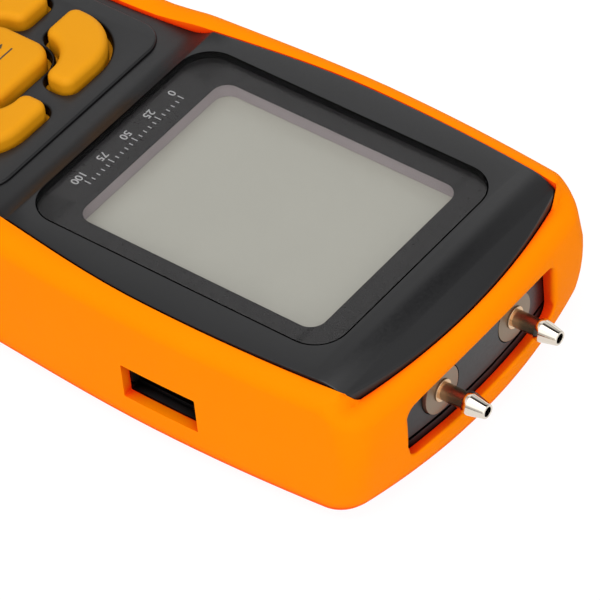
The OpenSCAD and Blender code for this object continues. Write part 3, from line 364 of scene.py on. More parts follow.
def outline(si, ei, rc, rg, rt, wide=0.0):
    """The body's outline: true arcs drawn in by a side inset, an end inset and corner radii."""
    ax, ay, bx, by = HALF_W - SIDE_R, WIDE_Y, 0.0, TOP_Y - rt
    ra, rb = SIDE_R - si - rc, rt - ei - rc
    d = math.hypot(bx - ax, by - ay)
    along = (ra * ra - rb * rb + d * d) / (2 * d)
    up = math.sqrt(ra * ra - along * along)
    ux, uy = (bx - ax) / d, (by - ay) / d
    tx, ty = ax + along * ux - up * uy, ay + along * uy + up * ux
    low_x = HALF_W - WAIST_IN - si - wide - rg
    low_c = BOTTOM_Y + END_R
    low_y = low_c - math.sqrt((END_R - ei - rg) ** 2 - low_x * low_x)
    side_a = math.atan2(ty - ay, tx - ax)
    end_a = math.atan2(ty - by, tx - bx)
    low_a = math.atan2(low_y - low_c, low_x)
    y_high = ty + rc * math.sin(side_a)
    marks = [low_y, LENS_MM - CHANNEL[0] - CHANNEL[1], LENS_MM - CHANNEL[0], LENS_MM + RIM[0], y_high]
    side = []
    for y0, y1, n in zip(marks[:-1], marks[1:], (FINE, FINE // 2, FINE, FINE + 2)):
        side += [lerp(y0, y1, i / n) for i in range(1, n + 1)]
    half = arc(0.0, low_c, END_R - ei, math.asin(MIDDLE_GAP / END_R) - math.pi / 2, low_a, FINE)[:-1]
    half += arc(low_x, low_y, rg, low_a, 0.0, FINE)
    half += [(side_x(y, si, wide), y) for y in side[:-1]]
    half += arc(tx, ty, rc, side_a, end_a, FINE)
    half += arc(bx, by, rt - ei, end_a, math.pi / 2 - math.asin(MIDDLE_GAP / rt), FINE + 2, END_EASE)[1:]
    return half + [(-x, y) for x, y in reversed(half)]


def inset_outline(d):
    return outline(d, d, CORNER_R - d, GRIP_CORNER_R - d, END_R)


def opening_outline(d):
    return outline(LIP_W + d, BRIDGE_W + d, OPENING_CORNER, GRIP_CORNER_R - LIP_W - d, BRIDGE_R, LIP_WIDER)


def boot_outline(k, low, d, e, sharp=0.0):
    edge_r, edge_in = (LOW_END_R, LOW_END_IN) if low else (TOP_END_R, TOP_END_IN)
    corner = lerp(LOW_CORNER_R if low else CORNER_R, BULGE_CORNER_R, k) - d
    return outline(FLARE * (1 - k) + d, edge_in * (1 - k) + e, lerp(corner, OPENING_CORNER + 1, sharp),
                   GRIP_CORNER_R - d, 1 / lerp(lerp(1 / edge_r, 1 / BULGE_R, k), 1 / BRIDGE_R, sharp))


def bulge_share(z, edge):
    return 1 - ((z - BULGE_Z) / (edge - BULGE_Z)) ** 2


def skin(name, levels, material):
    """Closed skin through rings of equal length, capped at both ends by strips across the body."""
    n = len(levels[0][0])
    verts = [(x * MM, y * MM, height(y) * MM) for ring, height in levels for x, y in ring]
    faces = []
    for k in range(len(levels) - 1):
        for i in range(n):
            j = (i + 1) % n
            faces.append((k * n + i, k * n + j, k * n + n + j, k * n + n + i))
    last = (len(levels) - 1) * n
    for i in range(n // 2 - 1):
        faces.append((i, n - 1 - i, n - 2 - i, i + 1))
        faces.append((last + i, last + i + 1, last + n - 2 - i, last + n - 1 - i))
    return add_mesh(name, verts, faces, material)


def faced_out(obj):
    """Turns every face of the piece outwards."""
    bm = bmesh.new()
    bm.from_mesh(obj.data)
    bmesh.ops.recalc_face_normals(bm, faces=bm.faces)
    bm.to_mesh(obj.data)
    bm.free()
    return obj


def prism(points, low, high, axis="z", at=(0.0, 0.0, 0.0)):
    """A straight prism over a closed outline; axis says which way it runs."""
    n = len(points)
    verts = []
    for h in (low, high):
        for x, y in points:
            place = {"z": (x, y, h), "y": (x, h, y), "x": (h, x, y)}[axis]
            verts.append(tuple((p + a) * MM for p, a in zip(place, at)))
    faces = [tuple(range(n - 1, -1, -1)), tuple(range(n, 2 * n))]
    faces += [(i, (i + 1) % n, n + (i + 1) % n, n + i) for i in range(n)]
    obj = add_mesh("cutter", verts, faces)
    return faced_out(obj)


def round_rect(w, l, r, n=8, cx=0.0, cy=0.0):
    pts = []
    for q, (sx, sy) in enumerate(((1, 1), (-1, 1), (-1, -1), (1, -1))):
        a0 = q * math.pi / 2
        pts += arc(cx + sx * (w / 2 - r), cy + sy * (l / 2 - r), r, a0, a0 + math.pi / 2, n)
    return pts


SHARP = 32.0


def carve(obj, cutters):
    """Cuts each solid out of the piece, then smooths it but for its sharp edges."""
    for cutter in cutters:
        mod = obj.modifiers.new("cut", "BOOLEAN")
        mod.operation = "DIFFERENCE"
        mod.solver = "EXACT"
        mod.object = cutter
    bpy.context.view_layer.update()
    graph = bpy.context.evaluated_depsgraph_get()
    mesh = bpy.data.meshes.new_from_object(obj.evaluated_get(graph))
    obj.modifiers.clear()
    obj.data = mesh
    for cutter in cutters:
        bpy.data.objects.remove(cutter)
    soften(obj)
    return obj


def soften(obj, angle=SHARP):
    """Shades the piece smooth, with edges over the angle in degrees kept sharp."""
    mesh = obj.data
    mesh.polygons.foreach_set("use_smooth", [True] * len(mesh.polygons))
    mesh.set_sharp_from_angle(angle=math.radians(angle))
    mesh.update()


def add_mesh(name, verts, faces, mat=None):
    mesh = bpy.data.meshes.new(name)
    mesh.from_pydata(verts, [], faces)
    mesh.update()
    obj = bpy.data.objects.new(name, mesh)
    bpy.context.scene.collection.objects.link(obj)
    if mat is not None:
        mesh.materials.append(mat)
    return obj


# Boot
PORT_W = 44.8
PORT_H = 14.5
PORT_BOW = 1.5
PORT_R = 2.4
PORT_FLOOR = LEVEL - 23.0
PORT_DEPTH = 14.0
# Where the corner's round is raised and where the bowed top begins beside it
PORT_LIFT = 0.2
PORT_FLAT = 1.0
# The outer round, how far it thins out towards the top, and its share along the sill
PORT_ROUND = 1.3
PORT_UNEVEN = 0.8
SILL_ROUND = 0.45
PORT_STEPS = 6
SIDE_WIN = (17.2, 8.1)
SIDE_WIN_CORNER = 0.25
SIDE_WIN_DEPTH = 7.0
SIDE_WIN_Y = LENS_MM + 4.4
SIDE_WIN_Z = LEVEL - 18.55
DOOR_W, DOOR_LOW, DOOR_HIGH = 34.3, -72.65, -16.65
# Room round the battery door in the boot's back
BACK_ROOM = 1.4
ROUND_STEPS = 8
WALL_STEPS = 5
INNER_STEPS = 6


def boot_levels():
    """The boot's rings: base round, side, lip, opening, then down the inside to the floor."""
    levels = []
    for i in range(ROUND_STEPS + 1):
        a = math.pi / 2 * i / ROUND_STEPS
        d, z = BASE_R * (1 - math.sin(a)), BASE_R * (1 - math.cos(a))
        levels.append((boot_outline(bulge_share(z, 0.0), True, d, d), lambda y, z=z: z))
    for i in range(1, WALL_STEPS + 1):
        z = lerp(BASE_R, BULGE_Z, i / WALL_STEPS)
        levels.append((boot_outline(bulge_share(z, 0.0), True, 0.0, 0.0), lambda y, z=z: z))
    end_z = lip_at(TOP_Y)
    for i in range(ROUND_STEPS + 1):
        a = math.pi / 2 * i / ROUND_STEPS
        d, f = LIP_R * (1 - math.cos(a)), LIP_R * (1 - math.sin(a))
        e = (BRIDGE_W - TOP_END_IN - LIP_SHY) * (1 - math.cos(a))
        ring = boot_outline(bulge_share(end_z - f, end_z), False, d, e, i / ROUND_STEPS)
        levels.append((ring, lambda y, f=f, k=i / ROUND_STEPS: lip_at(y, k) - f))
    levels.append((opening_outline(-LIP_EDGE), lambda y: lip_at(y, 1.0)))
    levels.append((opening_outline(-LIP_EDGE * FIRST_FALL), lambda y: lip_at(y, 1.0) - LIP_EDGE * FIRST_FALL))
    levels.append((opening_outline(0.0), lambda y: lip_at(y, 1.0) - LIP_EDGE))
    levels.append((opening_outline(0.0), lambda y: rim_at(y) + LIP_UNDER))
    levels.append((inset_outline(BOOT_WALL), lambda y: rim_at(y) + LIP_UNDER))
    base_in = BASE_R - BOOT_WALL
    for i in range(INNER_STEPS + 1):
        a = math.pi / 2 * (1 - i / INNER_STEPS)
        d, z = base_in * (1 - math.sin(a)), base_in * (1 - math.cos(a))
        levels.append((inset_outline(BOOT_WALL + d), lambda y, z=z: BOOT_WALL + z))
    return levels


def port_points(n=8):
    """The window's outline with each point's outward way and its share of the outer round."""
    half, side_h = PORT_W / 2, PORT_H - PORT_BOW
    slope = math.atan2(2 * PORT_BOW, half)
    right = [(half - PORT_R + PORT_R * math.cos(a), PORT_R + PORT_R * math.sin(a), a)
             for a in (lerp(-math.pi / 2, 0.0, i / n) for i in range(n + 1))]
    right += [(half, lerp(PORT_R, side_h - PORT_R, i / n), 0.0) for i in range(1, n)]
    right += [(half - PORT_R + PORT_R * math.cos(a), side_h - PORT_R + PORT_LIFT + PORT_R * math.sin(a), a)
              for a in (lerp(0.0, math.pi / 2 - slope, i / n) for i in range(n + 1))]
    start = half - PORT_R - PORT_FLAT
    right += [(x, PORT_H - PORT_BOW * (x / half) ** 2, math.pi / 2)
              for x in (lerp(start, 0.0, i / n) for i in range(n + 1))]
    floor_pts = [(lerp(0.0, half - PORT_R, i / n), 0.0, -math.pi / 2) for i in range(1, n)]
    right = floor_pts + right
    left = [(-x, h, math.pi - a) for x, h, a in reversed(right[:-1])]
    points = []
    for x, h, a in right + left + [(0.0, 0.0, -math.pi / 2)]:
        share = clamp(1 - PORT_UNEVEN * math.sin(a)) if h > PORT_R else SILL_ROUND
        points.append((x, h, math.cos(a), math.sin(a), share))
    return points


def end_y(x, z):
    """Where the boot's barb end lies at half-width x and height z."""
    k = bulge_share(z, 0.0) if z < BULGE_Z else bulge_share(z, lip_at(TOP_Y))
    edge_r, edge_in = (LOW_END_R, LOW_END_IN) if z < BULGE_Z else (TOP_END_R, TOP_END_IN)
    r = 1 / lerp(1 / edge_r, 1 / BULGE_R, k)
    return TOP_Y - edge_in * (1 - k) - r + math.sqrt(r * r - x * x)


def port_cutter():
    """The window's cutter: straight through the wall, rounded over where it meets the outer face."""
    points = port_points()
    rings = [[(x, TOP_Y - PORT_DEPTH, h + PORT_FLOOR) for x, h, nx, nh, s in points]]
    for i in range(PORT_STEPS + 1):
        a = math.pi / 2 * i / PORT_STEPS
        ring = []
        for x, h, nx, nh, s in points:
            grow, deep = PORT_ROUND * s * (1 - math.cos(a)), PORT_ROUND * s * (1 - math.sin(a))
            px, pz = x + nx * grow, h + nh * grow + PORT_FLOOR
            ring.append((px, end_y(px, pz) - deep, pz))
        rings.append(ring)
    rings.append([(x, y + CUT * 3, z) for x, y, z in rings[-1]])
    n = len(points)
    verts = [(x * MM, y * MM, z * MM) for ring in rings for x, y, z in ring]
    faces = [tuple(range(n)), tuple(range(len(rings) * n - 1, (len(rings) - 1) * n - 1, -1))]
    for k in range(len(rings) - 1):
        for i in range(n):
            j = (i + 1) % n
            faces.append((k * n + i, k * n + n + i, k * n + n + j, k * n + j))
    obj = add_mesh("cutter", verts, faces)
    return faced_out(obj)


boot = skin("boot_skin", boot_levels(), M["boot"])
carve(boot, [
    port_cutter(),
    prism(round_rect(*SIDE_WIN, SIDE_WIN_CORNER, 3), HALF_W - SIDE_WIN_DEPTH, HALF_W + CUT,
          "x", (0.0, SIDE_WIN_Y, SIDE_WIN_Z)),
    prism(round_rect(DOOR_W + 2 * BACK_ROOM, DOOR_HIGH - DOOR_LOW + 2 * BACK_ROOM, BACK_ROOM, 6,
                     0.0, (DOOR_LOW + DOOR_HIGH) / 2), -CUT, BOOT_WALL + CUT),
])
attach(boot, "meter")
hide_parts("protective_boot")

# Front casing
SEAM = 0.3
SLOPE_BEVEL = EDGE_BEVEL * FIRST_FALL
LENS_LEN, LENS_CORNER = 70.4, 6.5
VIEW_W, VIEW_LEN, VIEW_OFF, VIEW_CORNER = 44.5, 55.9, 1.4, 3.2
FRAME_WALL = 1.95
LENS_SEAT = 1.95
PART_Z = LEVEL - 21.2
GROOVE_H, GROOVE_DEEP, GROOVE_EDGE = 0.6, 0.7, 0.1
CAVITY_IN = 4.1
ROOF_Z = LEVEL - 8.2
CEILING_Z = LEVEL - 3.6
CEILING_IN = 6.6
CEILING_WIDER = 1.5
CEILING_END = 36.0
PAD_EDGE, PAD_END, PAD_W, PAD_CORNER = 43.4, 98.5, 54.0, 6.0
PAD_RISE = 0.6
PAD_Z = LEVEL - CHANNEL[2] + PAD_RISE
KEY_Y = LENS_MM - 65.3
POWER_Y = LENS_MM - 89.5
KEY_W, KEY_LEN, KEY_CORNER = 19.5, 16.0, 4.5
RING_W, RING_LEN, RING_CORNER = 43.0, 33.4, 10.5
RING_GAP, WING_GAP, TIP_R = 2.5, 5.6, 2.2
POWER_W, POWER_LEN, POWER_FLAT = 16.0, 7.5, 0.05
SOCKET_GAP = 0.85
KEY_TOP = LEVEL + 1.4
BOARD_Z, TOUCH, MAT_T, SKIRT_LEN = 24.4, 0.05, 1.0, 1.8
CAP_Z = BOARD_Z + TOUCH + MAT_T + TOUCH + SKIRT_LEN + TOUCH
FLANGE_T, FLANGE_OUT, KEY_ROUND = 1.0, 1.05, 1.6
BARB_X = 11.2
BARB_Z = LEVEL - 14.9
FLANGE_FACE = 48.8
HOLE_R = 4.95
HOLE_FROM, HOLE_TO = 45.9, 60.0
CASING_WIN = (16.2, 7.3)
CASING_WIN_CORNER = 0.2
CASING_WIN_DEPTH = 9.0


def wing_points(d, n):
    w, h, g = RING_W / 2, RING_LEN / 2, WING_GAP / 2
    c, t, q = KEY_CORNER + RING_GAP, TIP_R, math.pi / 2
    x, y = KEY_W / 2 - KEY_CORNER, KEY_LEN / 2 - KEY_CORNER
    a, b = math.asin((g + t - x) / (c + t)), math.asin((g + t - y) / (c + t))
    pts = arc(w - RING_CORNER, h - RING_CORNER, RING_CORNER - d, 0, q, 2 * n)
    pts += arc(g + t, h - t, t - d, q, 2 * q, n)
    pts += arc(g + t, y + (c + t) * math.cos(a), t - d, 2 * q, 3 * q - a, n)
    pts += arc(x, y, c + d, q - a, b, 2 * n)[1:-1]
    pts += arc(x + (c + t) * math.cos(b), g + t, t - d, 2 * q + b, 3 * q, n)
    pts += arc(w - t, g + t, t - d, 3 * q, 4 * q, n)
    return pts


def key_points(key, d, n=8):
    if key == "center":
        return round_rect(KEY_W - 2 * d, KEY_LEN - 2 * d, KEY_CORNER - d, n, 0.0, KEY_Y)
    if key == "power":
        return round_rect(POWER_W - 2 * d, POWER_LEN - 2 * d, POWER_LEN / 2 - POWER_FLAT - d, n, 0.0, POWER_Y)
    sx = 1 if "right" in key else -1
    sy = 1 if "upper" in key else -1
    pts = [(x * sx, y * sy + KEY_Y) for x, y in wing_points(d, n)]
    return pts if sx * sy > 0 else pts[::-1]


def circle(r, n=48, cx=0.0, cy=0.0):
    return arc(cx, cy, r, 0.0, 2 * math.pi * (n - 1) / n, n - 1)


shell = skin("casing_front_skin", [
    (inset_outline(CASING_IN + GROOVE_DEEP), lambda y: PART_Z),
    (inset_outline(CASING_IN + GROOVE_DEEP), lambda y: PART_Z + GROOVE_H),
    (inset_outline(CASING_IN + GROOVE_EDGE), lambda y: PART_Z + GROOVE_H),
    (inset_outline(CASING_IN), lambda y: PART_Z + GROOVE_H + GROOVE_EDGE),
    (inset_outline(CASING_IN), rim_at),
    (opening_outline(LIP_GAP), rim_at),
    (opening_outline(LIP_GAP), lambda y: face_at(y) - EDGE_BEVEL),
    (opening_outline(LIP_GAP + SLOPE_BEVEL), lambda y: face_at(y) - SLOPE_BEVEL),
    (opening_outline(LIP_GAP + EDGE_BEVEL), face_at),
], M["casing"])
cuts = [prism(inset_outline(CAVITY_IN), PART_Z - CUT, ROOF_Z)]
ceiling = outline(CEILING_IN, CEILING_IN, CORNER_R - CEILING_IN, GRIP_CORNER_R - CEILING_IN, END_R,
                  CEILING_WIDER)
inner = [p for p in ceiling if p[1] < LENS_MM + CEILING_END]
cuts.append(prism(inner, PART_Z - CUT, CEILING_Z))
cuts.append(prism(round_rect(LENS_W + 2 * SEAM, LENS_LEN + 2 * SEAM, LENS_CORNER + SEAM, 12, 0.0, LENS_MM),
                  LEVEL - LENS_SEAT, LEVEL + CUT))
cuts.append(prism(round_rect(VIEW_W + 2 * FRAME_WALL + 2 * SEAM, VIEW_LEN + 2 * FRAME_WALL + 2 * SEAM,
                             VIEW_CORNER + FRAME_WALL, 8, 0.0, LENS_MM + VIEW_OFF), CEILING_Z - CUT, LEVEL))
for side in (-1, 1):
    cuts.append(prism(circle(HOLE_R + LIP_GAP, 64, side * BARB_X, BARB_Z),
                      LENS_MM + HOLE_FROM, LENS_MM + HOLE_TO, "y"))
cuts.append(prism(round_rect(*CASING_WIN, CASING_WIN_CORNER, 3), HALF_W - CASING_WIN_DEPTH, HALF_W + CUT,
                  "x", (0.0, SIDE_WIN_Y, SIDE_WIN_Z)))
carve(shell, cuts)
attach(shell, "meter")

# Keypad panel with its sockets
panel_y = LENS_MM - (PAD_EDGE + PAD_END) / 2
PAD_ROUND = 0.5


def stack(name, levels, material):
    """Closed skin through rings of points, each at its own height."""
    n = len(levels[0][0])
    verts = [(x * MM, y * MM, z * MM) for ring, z in levels for x, y in ring]
    faces = [tuple(range(n - 1, -1, -1))]
    for k in range(len(levels) - 1):
        for i in range(n):
            j = (i + 1) % n
            faces.append((k * n + i, k * n + j, k * n + n + j, k * n + n + i))
    faces.append(tuple(range((len(levels) - 1) * n, len(levels) * n)))
    return add_mesh(name, verts, faces, material)


def rounded_top(outline_at, low, high, r, steps=6):
    """Rings that rise straight from low, then round over by r to high."""
    rings = [(outline_at(0.0), low)]
    for k in range(steps + 1):
        a = math.pi / 2 * k / steps
        rings.append((outline_at(r * (1 - math.cos(a))), high - r * (1 - math.sin(a))))
    return rings


panel = stack("keypad_panel", rounded_top(
    lambda d: round_rect(PAD_W - 2 * d, PAD_END - PAD_EDGE - 2 * d, PAD_CORNER - d, 10, 0.0, panel_y),
    CEILING_Z, PAD_Z, PAD_ROUND), M["casing"])
SOCKET_ROUND = 0.55
SOCKET_STEPS = 4
sockets = []
for key in KEYS:
    rings = [(key_points(key, -SOCKET_GAP), CEILING_Z - CUT)]
    for k in range(SOCKET_STEPS + 1):
        a = math.pi / 2 * k / SOCKET_STEPS
        grow = SOCKET_ROUND * (1 - math.cos(a))
        rings.append((key_points(key, -SOCKET_GAP - grow), PAD_Z - SOCKET_ROUND * (1 - math.sin(a))))
    rings.append((key_points(key, -SOCKET_GAP - SOCKET_ROUND), PAD_Z + CUT))
    sockets.append(stack("cutter", rings, None))
wells = [prism(key_points(key, -SOCKET_GAP), CEILING_Z - CUT, LEVEL) for key in KEYS]
carve(shell, wells)
carve(panel, sockets)
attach(panel, "meter")
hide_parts("front_casing")

# Keys: soft caps with a flange under the panel and a rounded upper edge
CAP_SHARP = 50.0
for key in KEYS:
    rings = [(key_points(key, -FLANGE_OUT), CAP_Z), (key_points(key, -FLANGE_OUT), CAP_Z + FLANGE_T)]
    rings += rounded_top(lambda d: key_points(key, d), CAP_Z + FLANGE_T, KEY_TOP, KEY_ROUND, 8)
    cap = stack(f"key_cap_{key}", rings, M["key"])
    soften(cap, CAP_SHARP)
    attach(cap, f"key_{key}")
    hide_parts(f"key_{key}")


# Barbs turned from one bar
def lathe(name, profile, material, n=72):
    """Turns a profile of (radius, place along Y) round the barb's axis."""
    verts = []
    for r, y in profile:
        for i in range(n):
            a = 2 * math.pi * i / n
            verts.append((r * math.cos(a) * MM, y * MM, r * math.sin(a) * MM))
    count = len(profile)
    faces = []
    for k in range(count):
        nxt = (k + 1) % count
        for i in range(n):
            j = (i + 1) % n
            faces.append((k * n + i, nxt * n + i, nxt * n + j, k * n + j))
    obj = add_mesh(name, verts, faces, material)
    return faced_out(obj)


BARB_SHARP = 28.0
# Places along the barb count from the lens's middle
TIP = 59.1
CONE_START = TIP - 4.6
BORE_R, SPIGOT_R, SHANK_R, FLANGE_R = 1.0, 1.5, 3.0, 4.95
COLLAR_R, SHAFT_R, LAND_R = 2.3, 1.75, 2.25
SPIGOT_FROM, SHANK_FROM, FLANGE_FROM, COLLAR_TO = 35.3, 39.9, 47.0, 49.15
BARB_PROFILE = [
    (BORE_R, SPIGOT_FROM), (SPIGOT_R, SPIGOT_FROM), (SPIGOT_R, SHANK_FROM), (SHANK_R, SHANK_FROM),
    (SHANK_R, FLANGE_FROM), (FLANGE_R, FLANGE_FROM), (FLANGE_R, FLANGE_FACE - 0.08),
    (FLANGE_R - 0.03, FLANGE_FACE - 0.02), (FLANGE_R - 0.1, FLANGE_FACE), (COLLAR_R, FLANGE_FACE),
    (COLLAR_R, COLLAR_TO - 0.05), (COLLAR_R - 0.05, COLLAR_TO), (SHAFT_R, COLLAR_TO),
    (SHAFT_R, CONE_START - 0.1), (SHAFT_R + 0.05, CONE_START), (LAND_R - 0.08, CONE_START),
    (LAND_R - 0.02, CONE_START + 0.03), (LAND_R, CONE_START + 0.1), (LAND_R, CONE_START + 0.95),
    (LAND_R - 0.01, CONE_START + 1.05), (SPIGOT_R + 0.03, TIP - 0.35), (SPIGOT_R, TIP - 0.2),
    (SPIGOT_R - 0.1, TIP - 0.06), (SPIGOT_R - 0.25, TIP), (BORE_R + 0.1, TIP - 0.02), (BORE_R, TIP - 0.12),
]
# Turned zones: edge, colour and roughness; the shaft's colour is a painted orange reflection of the boot, and
# the flange's colour is painted shade
ZONE_BLUR = 0.05
SHAFT_REFLECTION_ZONE = (54.3, (0.66, 0.46, 0.29), 0.24)
FLANGE_SHADE_ZONE = (48.95, (0.26, 0.20, 0.145), 0.42)


def turned_and_shaded_zones(mat, zones):
    """From each zone's edge backwards the bar is rougher, as it was turned and not polished, and its colour
    is darker and browner as painted shade and painted reflection of the orange boot.
    """
    nt = mat.node_tree
    bsdf = nt.nodes["Principled BSDF"]
    coord = nt.nodes.new("ShaderNodeTexCoord")
    split = nt.nodes.new("ShaderNodeSeparateXYZ")
    link(nt, coord.outputs["Object"], split.inputs["Vector"])
    for edge, color, rough in zones:
        edge_y = LENS_MM + edge
        share = spread(nt, split.outputs["Y"], 1.0, 0.0, (edge_y - ZONE_BLUR) * MM, (edge_y + ZONE_BLUR) * MM)
        tone = nt.nodes.new("ShaderNodeMix")
        tone.data_type = "RGBA"
        link(nt, share, tone.inputs[0])
        link(nt, bsdf.inputs["Base Color"].links[0].from_socket, tone.inputs[6])
        tone.inputs[7].default_value = (*color, 1.0)
        link(nt, tone.outputs[2], bsdf.inputs["Base Color"])
        dull = nt.nodes.new("ShaderNodeMix")
        link(nt, share, dull.inputs[0])
        link(nt, bsdf.inputs["Roughness"].links[0].from_socket, dull.inputs[2])
        dull.inputs[3].default_value = rough
        link(nt, dull.outputs[0], bsdf.inputs["Roughness"])


turned_and_shaded_zones(M["nickel"], (SHAFT_REFLECTION_ZONE, FLANGE_SHADE_ZONE))
for side, s in (("left", -1), ("right", 1)):
    barb = lathe(f"barb_{side}", BARB_PROFILE, M["nickel"])
    barb.data.transform(Matrix.Translation((s * BARB_X * MM, LENS_MM * MM, BARB_Z * MM)))
    soften(barb, BARB_SHARP)
    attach(barb, "meter")
    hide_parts(f"hose_barb_{side}")


# Plain tick scale printed on the display's surround, and a generic arrow pair on the middle key
MASK_TOP = LEVEL - 1.5
PRINT_T = 0.02
PRINT_LIFT = 0.01


def flat_shapes(name, shapes, z, material):
    """Thin printed shapes: each a closed outline in millimetres, lying at height z."""
    verts, faces = [], []
    for pts in shapes:
        n, base = len(pts), len(verts)
        verts += [(x * MM, y * MM, z * MM) for x, y in pts]
        verts += [(x * MM, y * MM, (z + PRINT_T) * MM) for x, y in pts]
        faces.append(tuple(range(base + n - 1, base - 1, -1)))
        faces.append(tuple(range(base + n, base + 2 * n)))
        for i in range(n):
            j = (i + 1) % n
            faces.append((base + i, base + j, base + n + j, base + n + i))
    return add_mesh(name, verts, faces, material)


def bar(cx, cy, w, h):
    left, right, low, high = cx - w / 2, cx + w / 2, cy - h / 2, cy + h / 2
    return [(left, low), (right, low), (right, high), (left, high)]


SCALE_HALF = 14.0
SCALE_Y = LENS_MM - 29.6
TICKS = 20
LONG_EVERY = 5
TICK_W, TICK_LONG, TICK_SHORT = 0.22, 1.5, 0.9
ticks = []
for i in range(TICKS + 1):
    tall = TICK_SHORT if i % LONG_EVERY else TICK_LONG
    ticks.append(bar(lerp(-SCALE_HALF, SCALE_HALF, i / TICKS), SCALE_Y - tall / 2, TICK_W, tall))
scale = flat_shapes("scale_ticks", ticks, MASK_TOP + PRINT_LIFT, M["print"])
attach(scale, "meter")

NUMBER_H = 1.7
NUMBER_DROP = 3.7
NUMBER_STEP = 25
FONT_RATIO = 1.4
STROKE_ADDED = 0.03


def number(name, text, x, y, z):
    """A printed number as a thin mesh, centred on x with its foot at y."""
    curve = bpy.data.curves.new(name, "FONT")
    curve.body = text
    curve.size = NUMBER_H * FONT_RATIO * MM
    curve.align_x = "CENTER"
    curve.extrude = PRINT_T / 2 * MM
    curve.offset = STROKE_ADDED * MM
    holder = bpy.data.objects.new(name, curve)
    bpy.context.scene.collection.objects.link(holder)
    bpy.context.view_layer.update()
    graph = bpy.context.evaluated_depsgraph_get()
    mesh = bpy.data.meshes.new_from_object(holder.evaluated_get(graph))
    bpy.data.objects.remove(holder)
    mesh.transform(Matrix.Translation((x * MM, y * MM, (z + PRINT_T / 2) * MM)))
    obj = bpy.data.objects.new(name, mesh)
    bpy.context.scene.collection.objects.link(obj)
    mesh.materials.clear()
    mesh.materials.append(M["print"])
    return obj


NUMBERS = TICKS // LONG_EVERY
for i in range(NUMBERS + 1):
    mark = number(f"scale_number_{i}", str(i * NUMBER_STEP), lerp(-SCALE_HALF, SCALE_HALF, i / NUMBERS),
                  SCALE_Y - NUMBER_DROP, MASK_TOP + PRINT_LIFT)
    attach(mark, "meter")

ARROW_LEN, ARROW_STEP, HEAD_LEN, HEAD_HALF, SHAFT_HALF = 10.0, 2.4, 1.3, 0.7, 0.18
INK_LIFT = 0.005


def arrow(cy, way):
    """An arrow along X through height cy; way is 1 or -1."""
    tip = ARROW_LEN / 2 * way
    neck = tip - HEAD_LEN * way
    shaft, head = SHAFT_HALF * way, HEAD_HALF * way
    return [(-tip, cy - shaft), (neck, cy - shaft), (neck, cy - head), (tip, cy),
            (neck, cy + head), (neck, cy + shaft), (-tip, cy + shaft)]


arrows = flat_shapes("key_symbol", [arrow(KEY_Y + ARROW_STEP / 2, 1), arrow(KEY_Y - ARROW_STEP / 2, -1)],
                     KEY_TOP + INK_LIFT, M["ink"])
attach(arrows, "key_center")


# Floor
FAR_TONE = 0.1
WHITE_OUT = 1.06


def stage_material(name, glow, tone, near, far):
    """White to the camera; in reflections bright near the meter and dark far off.

    near and far, in metres from the middle, are where the change begins and ends.
    """
    mat = bpy.data.materials.new(name)
    mat.use_nodes = True
    nt = mat.node_tree
    nt.nodes.clear()
    out = nt.nodes.new("ShaderNodeOutputMaterial")
    coord = nt.nodes.new("ShaderNodeTexCoord")
    reach = nt.nodes.new("ShaderNodeVectorMath")
    reach.operation = "LENGTH"
    link(nt, coord.outputs["Object"], reach.inputs[0])
    away = spread(nt, reach.outputs["Value"], 0.0, 1.0, near, far)
    diffuse = nt.nodes.new("ShaderNodeBsdfDiffuse")
    link(nt, ramp(nt, away, (tone,) * 3, (FAR_TONE,) * 3, 0.0, 1.0), diffuse.inputs["Color"])
    emit = nt.nodes.new("ShaderNodeEmission")
    emit.inputs["Strength"].default_value = WHITE_OUT
    path = nt.nodes.new("ShaderNodeLightPath")

    def math_node(operation, x, y):
        node = nt.nodes.new("ShaderNodeMath")
        node.operation = operation
        link(nt, x, node.inputs[0])
        link(nt, y, node.inputs[1])
        return node.outputs[0]

    seen = math_node("MAXIMUM", path.outputs["Is Camera Ray"], path.outputs["Is Transmission Ray"])
    seen = math_node("MULTIPLY", seen, spread(nt, away, glow, 1.0, 0.0, 1.0))
    mirrored = math_node("MULTIPLY", path.outputs["Is Glossy Ray"], spread(nt, away, glow, 0.0, 0.0, 1.0))
    mix = nt.nodes.new("ShaderNodeMixShader")
    link(nt, math_node("MAXIMUM", seen, mirrored), mix.inputs["Fac"])
    link(nt, diffuse.outputs["BSDF"], mix.inputs[1])
    link(nt, emit.outputs["Emission"], mix.inputs[2])
    link(nt, mix.outputs["Shader"], out.inputs["Surface"])
    return mat


# The floor lies a hair under the boot's base
FLOOR_HALF = 3.0
FLOOR_Z = -0.02 * MM
corners = [(x * FLOOR_HALF, y * FLOOR_HALF, FLOOR_Z) for x, y in ((-1, -1), (1, -1), (1, 1), (-1, 1))]
white = stage_material("floor_white", glow=0.88, tone=0.8, near=0.16, far=0.50)
floor = add_mesh("floor", corners, [(0, 1, 2, 3)], white)


# World: a light tent, brighter and darker towards some sides, white where the camera sees it.
# Each row: direction, then its cosines where the glow begins and is full, and its strength
TENT = 0.25
BACK_GLOW = (Vector((-0.54, -0.46, 0.70)), 0.89, 0.98, 0.84)
FRONT_GLOW = (Vector((0.60, 0.55, 0.58)), 0.10, 0.95, 1.03)
SIDE_GLOW = (Vector((0.85, -0.35, 0.40)), 0.10, 0.95, 0.48)
LEFT_GLOW = (Vector((-0.95, -0.28, 0.12)), 0.88, 0.98, 0.90)
DARK_BAND = (Vector((-0.44, 0.05, 0.90)), 0.93, 0.985, -0.60)
END_GLOW = (Vector((-0.60, 0.77, 0.20)), 0.40, 0.98, 0.30)
DARK_SIDE = (Vector((0.99, -0.05, 0.05)), 0.90, 0.98, -0.80)
world = bpy.data.worlds.new("surround")
bpy.context.scene.world = world
world.use_nodes = True
wnt = world.node_tree
background = wnt.nodes["Background"]
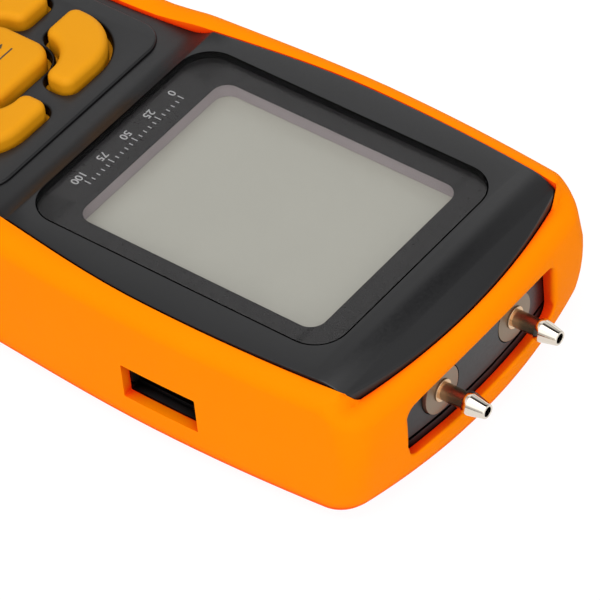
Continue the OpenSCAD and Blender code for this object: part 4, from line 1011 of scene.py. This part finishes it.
wcoord = wnt.nodes.new("ShaderNodeTexCoord")


def glow(direction, start, end, strength):
    """Light that grows smoothly towards one direction of the surround."""
    dot = wnt.nodes.new("ShaderNodeVectorMath")
    dot.operation = "DOT_PRODUCT"
    link(wnt, wcoord.outputs["Generated"], dot.inputs[0])
    dot.inputs[1].default_value = direction.normalized()
    ease = wnt.nodes.new("ShaderNodeMapRange")
    ease.interpolation_type = "SMOOTHSTEP"
    ease.inputs["From Min"].default_value = start
    ease.inputs["From Max"].default_value = end
    ease.inputs["To Max"].default_value = strength
    link(wnt, dot.outputs["Value"], ease.inputs["Value"])
    return ease.outputs["Result"]


def add(a, b):
    node = wnt.nodes.new("ShaderNodeMath")
    node.operation = "ADD"
    link(wnt, a, node.inputs[0])
    if isinstance(b, float):
        node.inputs[1].default_value = b
    else:
        link(wnt, b, node.inputs[1])
    return node.outputs[0]


level_out = add(glow(*BACK_GLOW), TENT)
for part in (FRONT_GLOW, SIDE_GLOW, LEFT_GLOW, END_GLOW, DARK_BAND, DARK_SIDE):
    level_out = add(level_out, glow(*part))
not_below = wnt.nodes.new("ShaderNodeMath")
not_below.operation = "MAXIMUM"
link(wnt, level_out, not_below.inputs[0])
not_below.inputs[1].default_value = 0.0
background.inputs["Color"].default_value = (1, 1, 1, 1)
link(wnt, not_below.outputs[0], background.inputs["Strength"])
seen = wnt.nodes.new("ShaderNodeBackground")
seen.inputs["Color"].default_value = (1, 1, 1, 1)
seen.inputs["Strength"].default_value = 1.0
wpath = wnt.nodes.new("ShaderNodeLightPath")
wmix = wnt.nodes.new("ShaderNodeMixShader")
link(wnt, wpath.outputs["Is Camera Ray"], wmix.inputs["Fac"])
link(wnt, background.outputs["Background"], wmix.inputs[1])
link(wnt, seen.outputs["Background"], wmix.inputs[2])
link(wnt, wmix.outputs["Shader"], wnt.nodes["World Output"].inputs["Surface"])


def area(name, place, size, power, target=(0.0, 0.0, 0.01)):
    """A soft rectangular lamp, in metres and watts, turned towards the target."""
    data = bpy.data.lights.new(name, "AREA")
    data.shape = "RECTANGLE"
    data.size = size[0]
    data.size_y = size[1]
    data.energy = power
    obj = bpy.data.objects.new(name, data)
    obj.location = place
    way = Vector(target) - Vector(place)
    obj.rotation_euler = way.to_track_quat("-Z", "Y").to_euler()
    bpy.context.scene.collection.objects.link(obj)


area("top_soft", place=(0.25, 0.1, 1.4), size=(0.9, 0.9), power=6.0)

bpy.context.scene.view_settings.view_transform = "Standard"
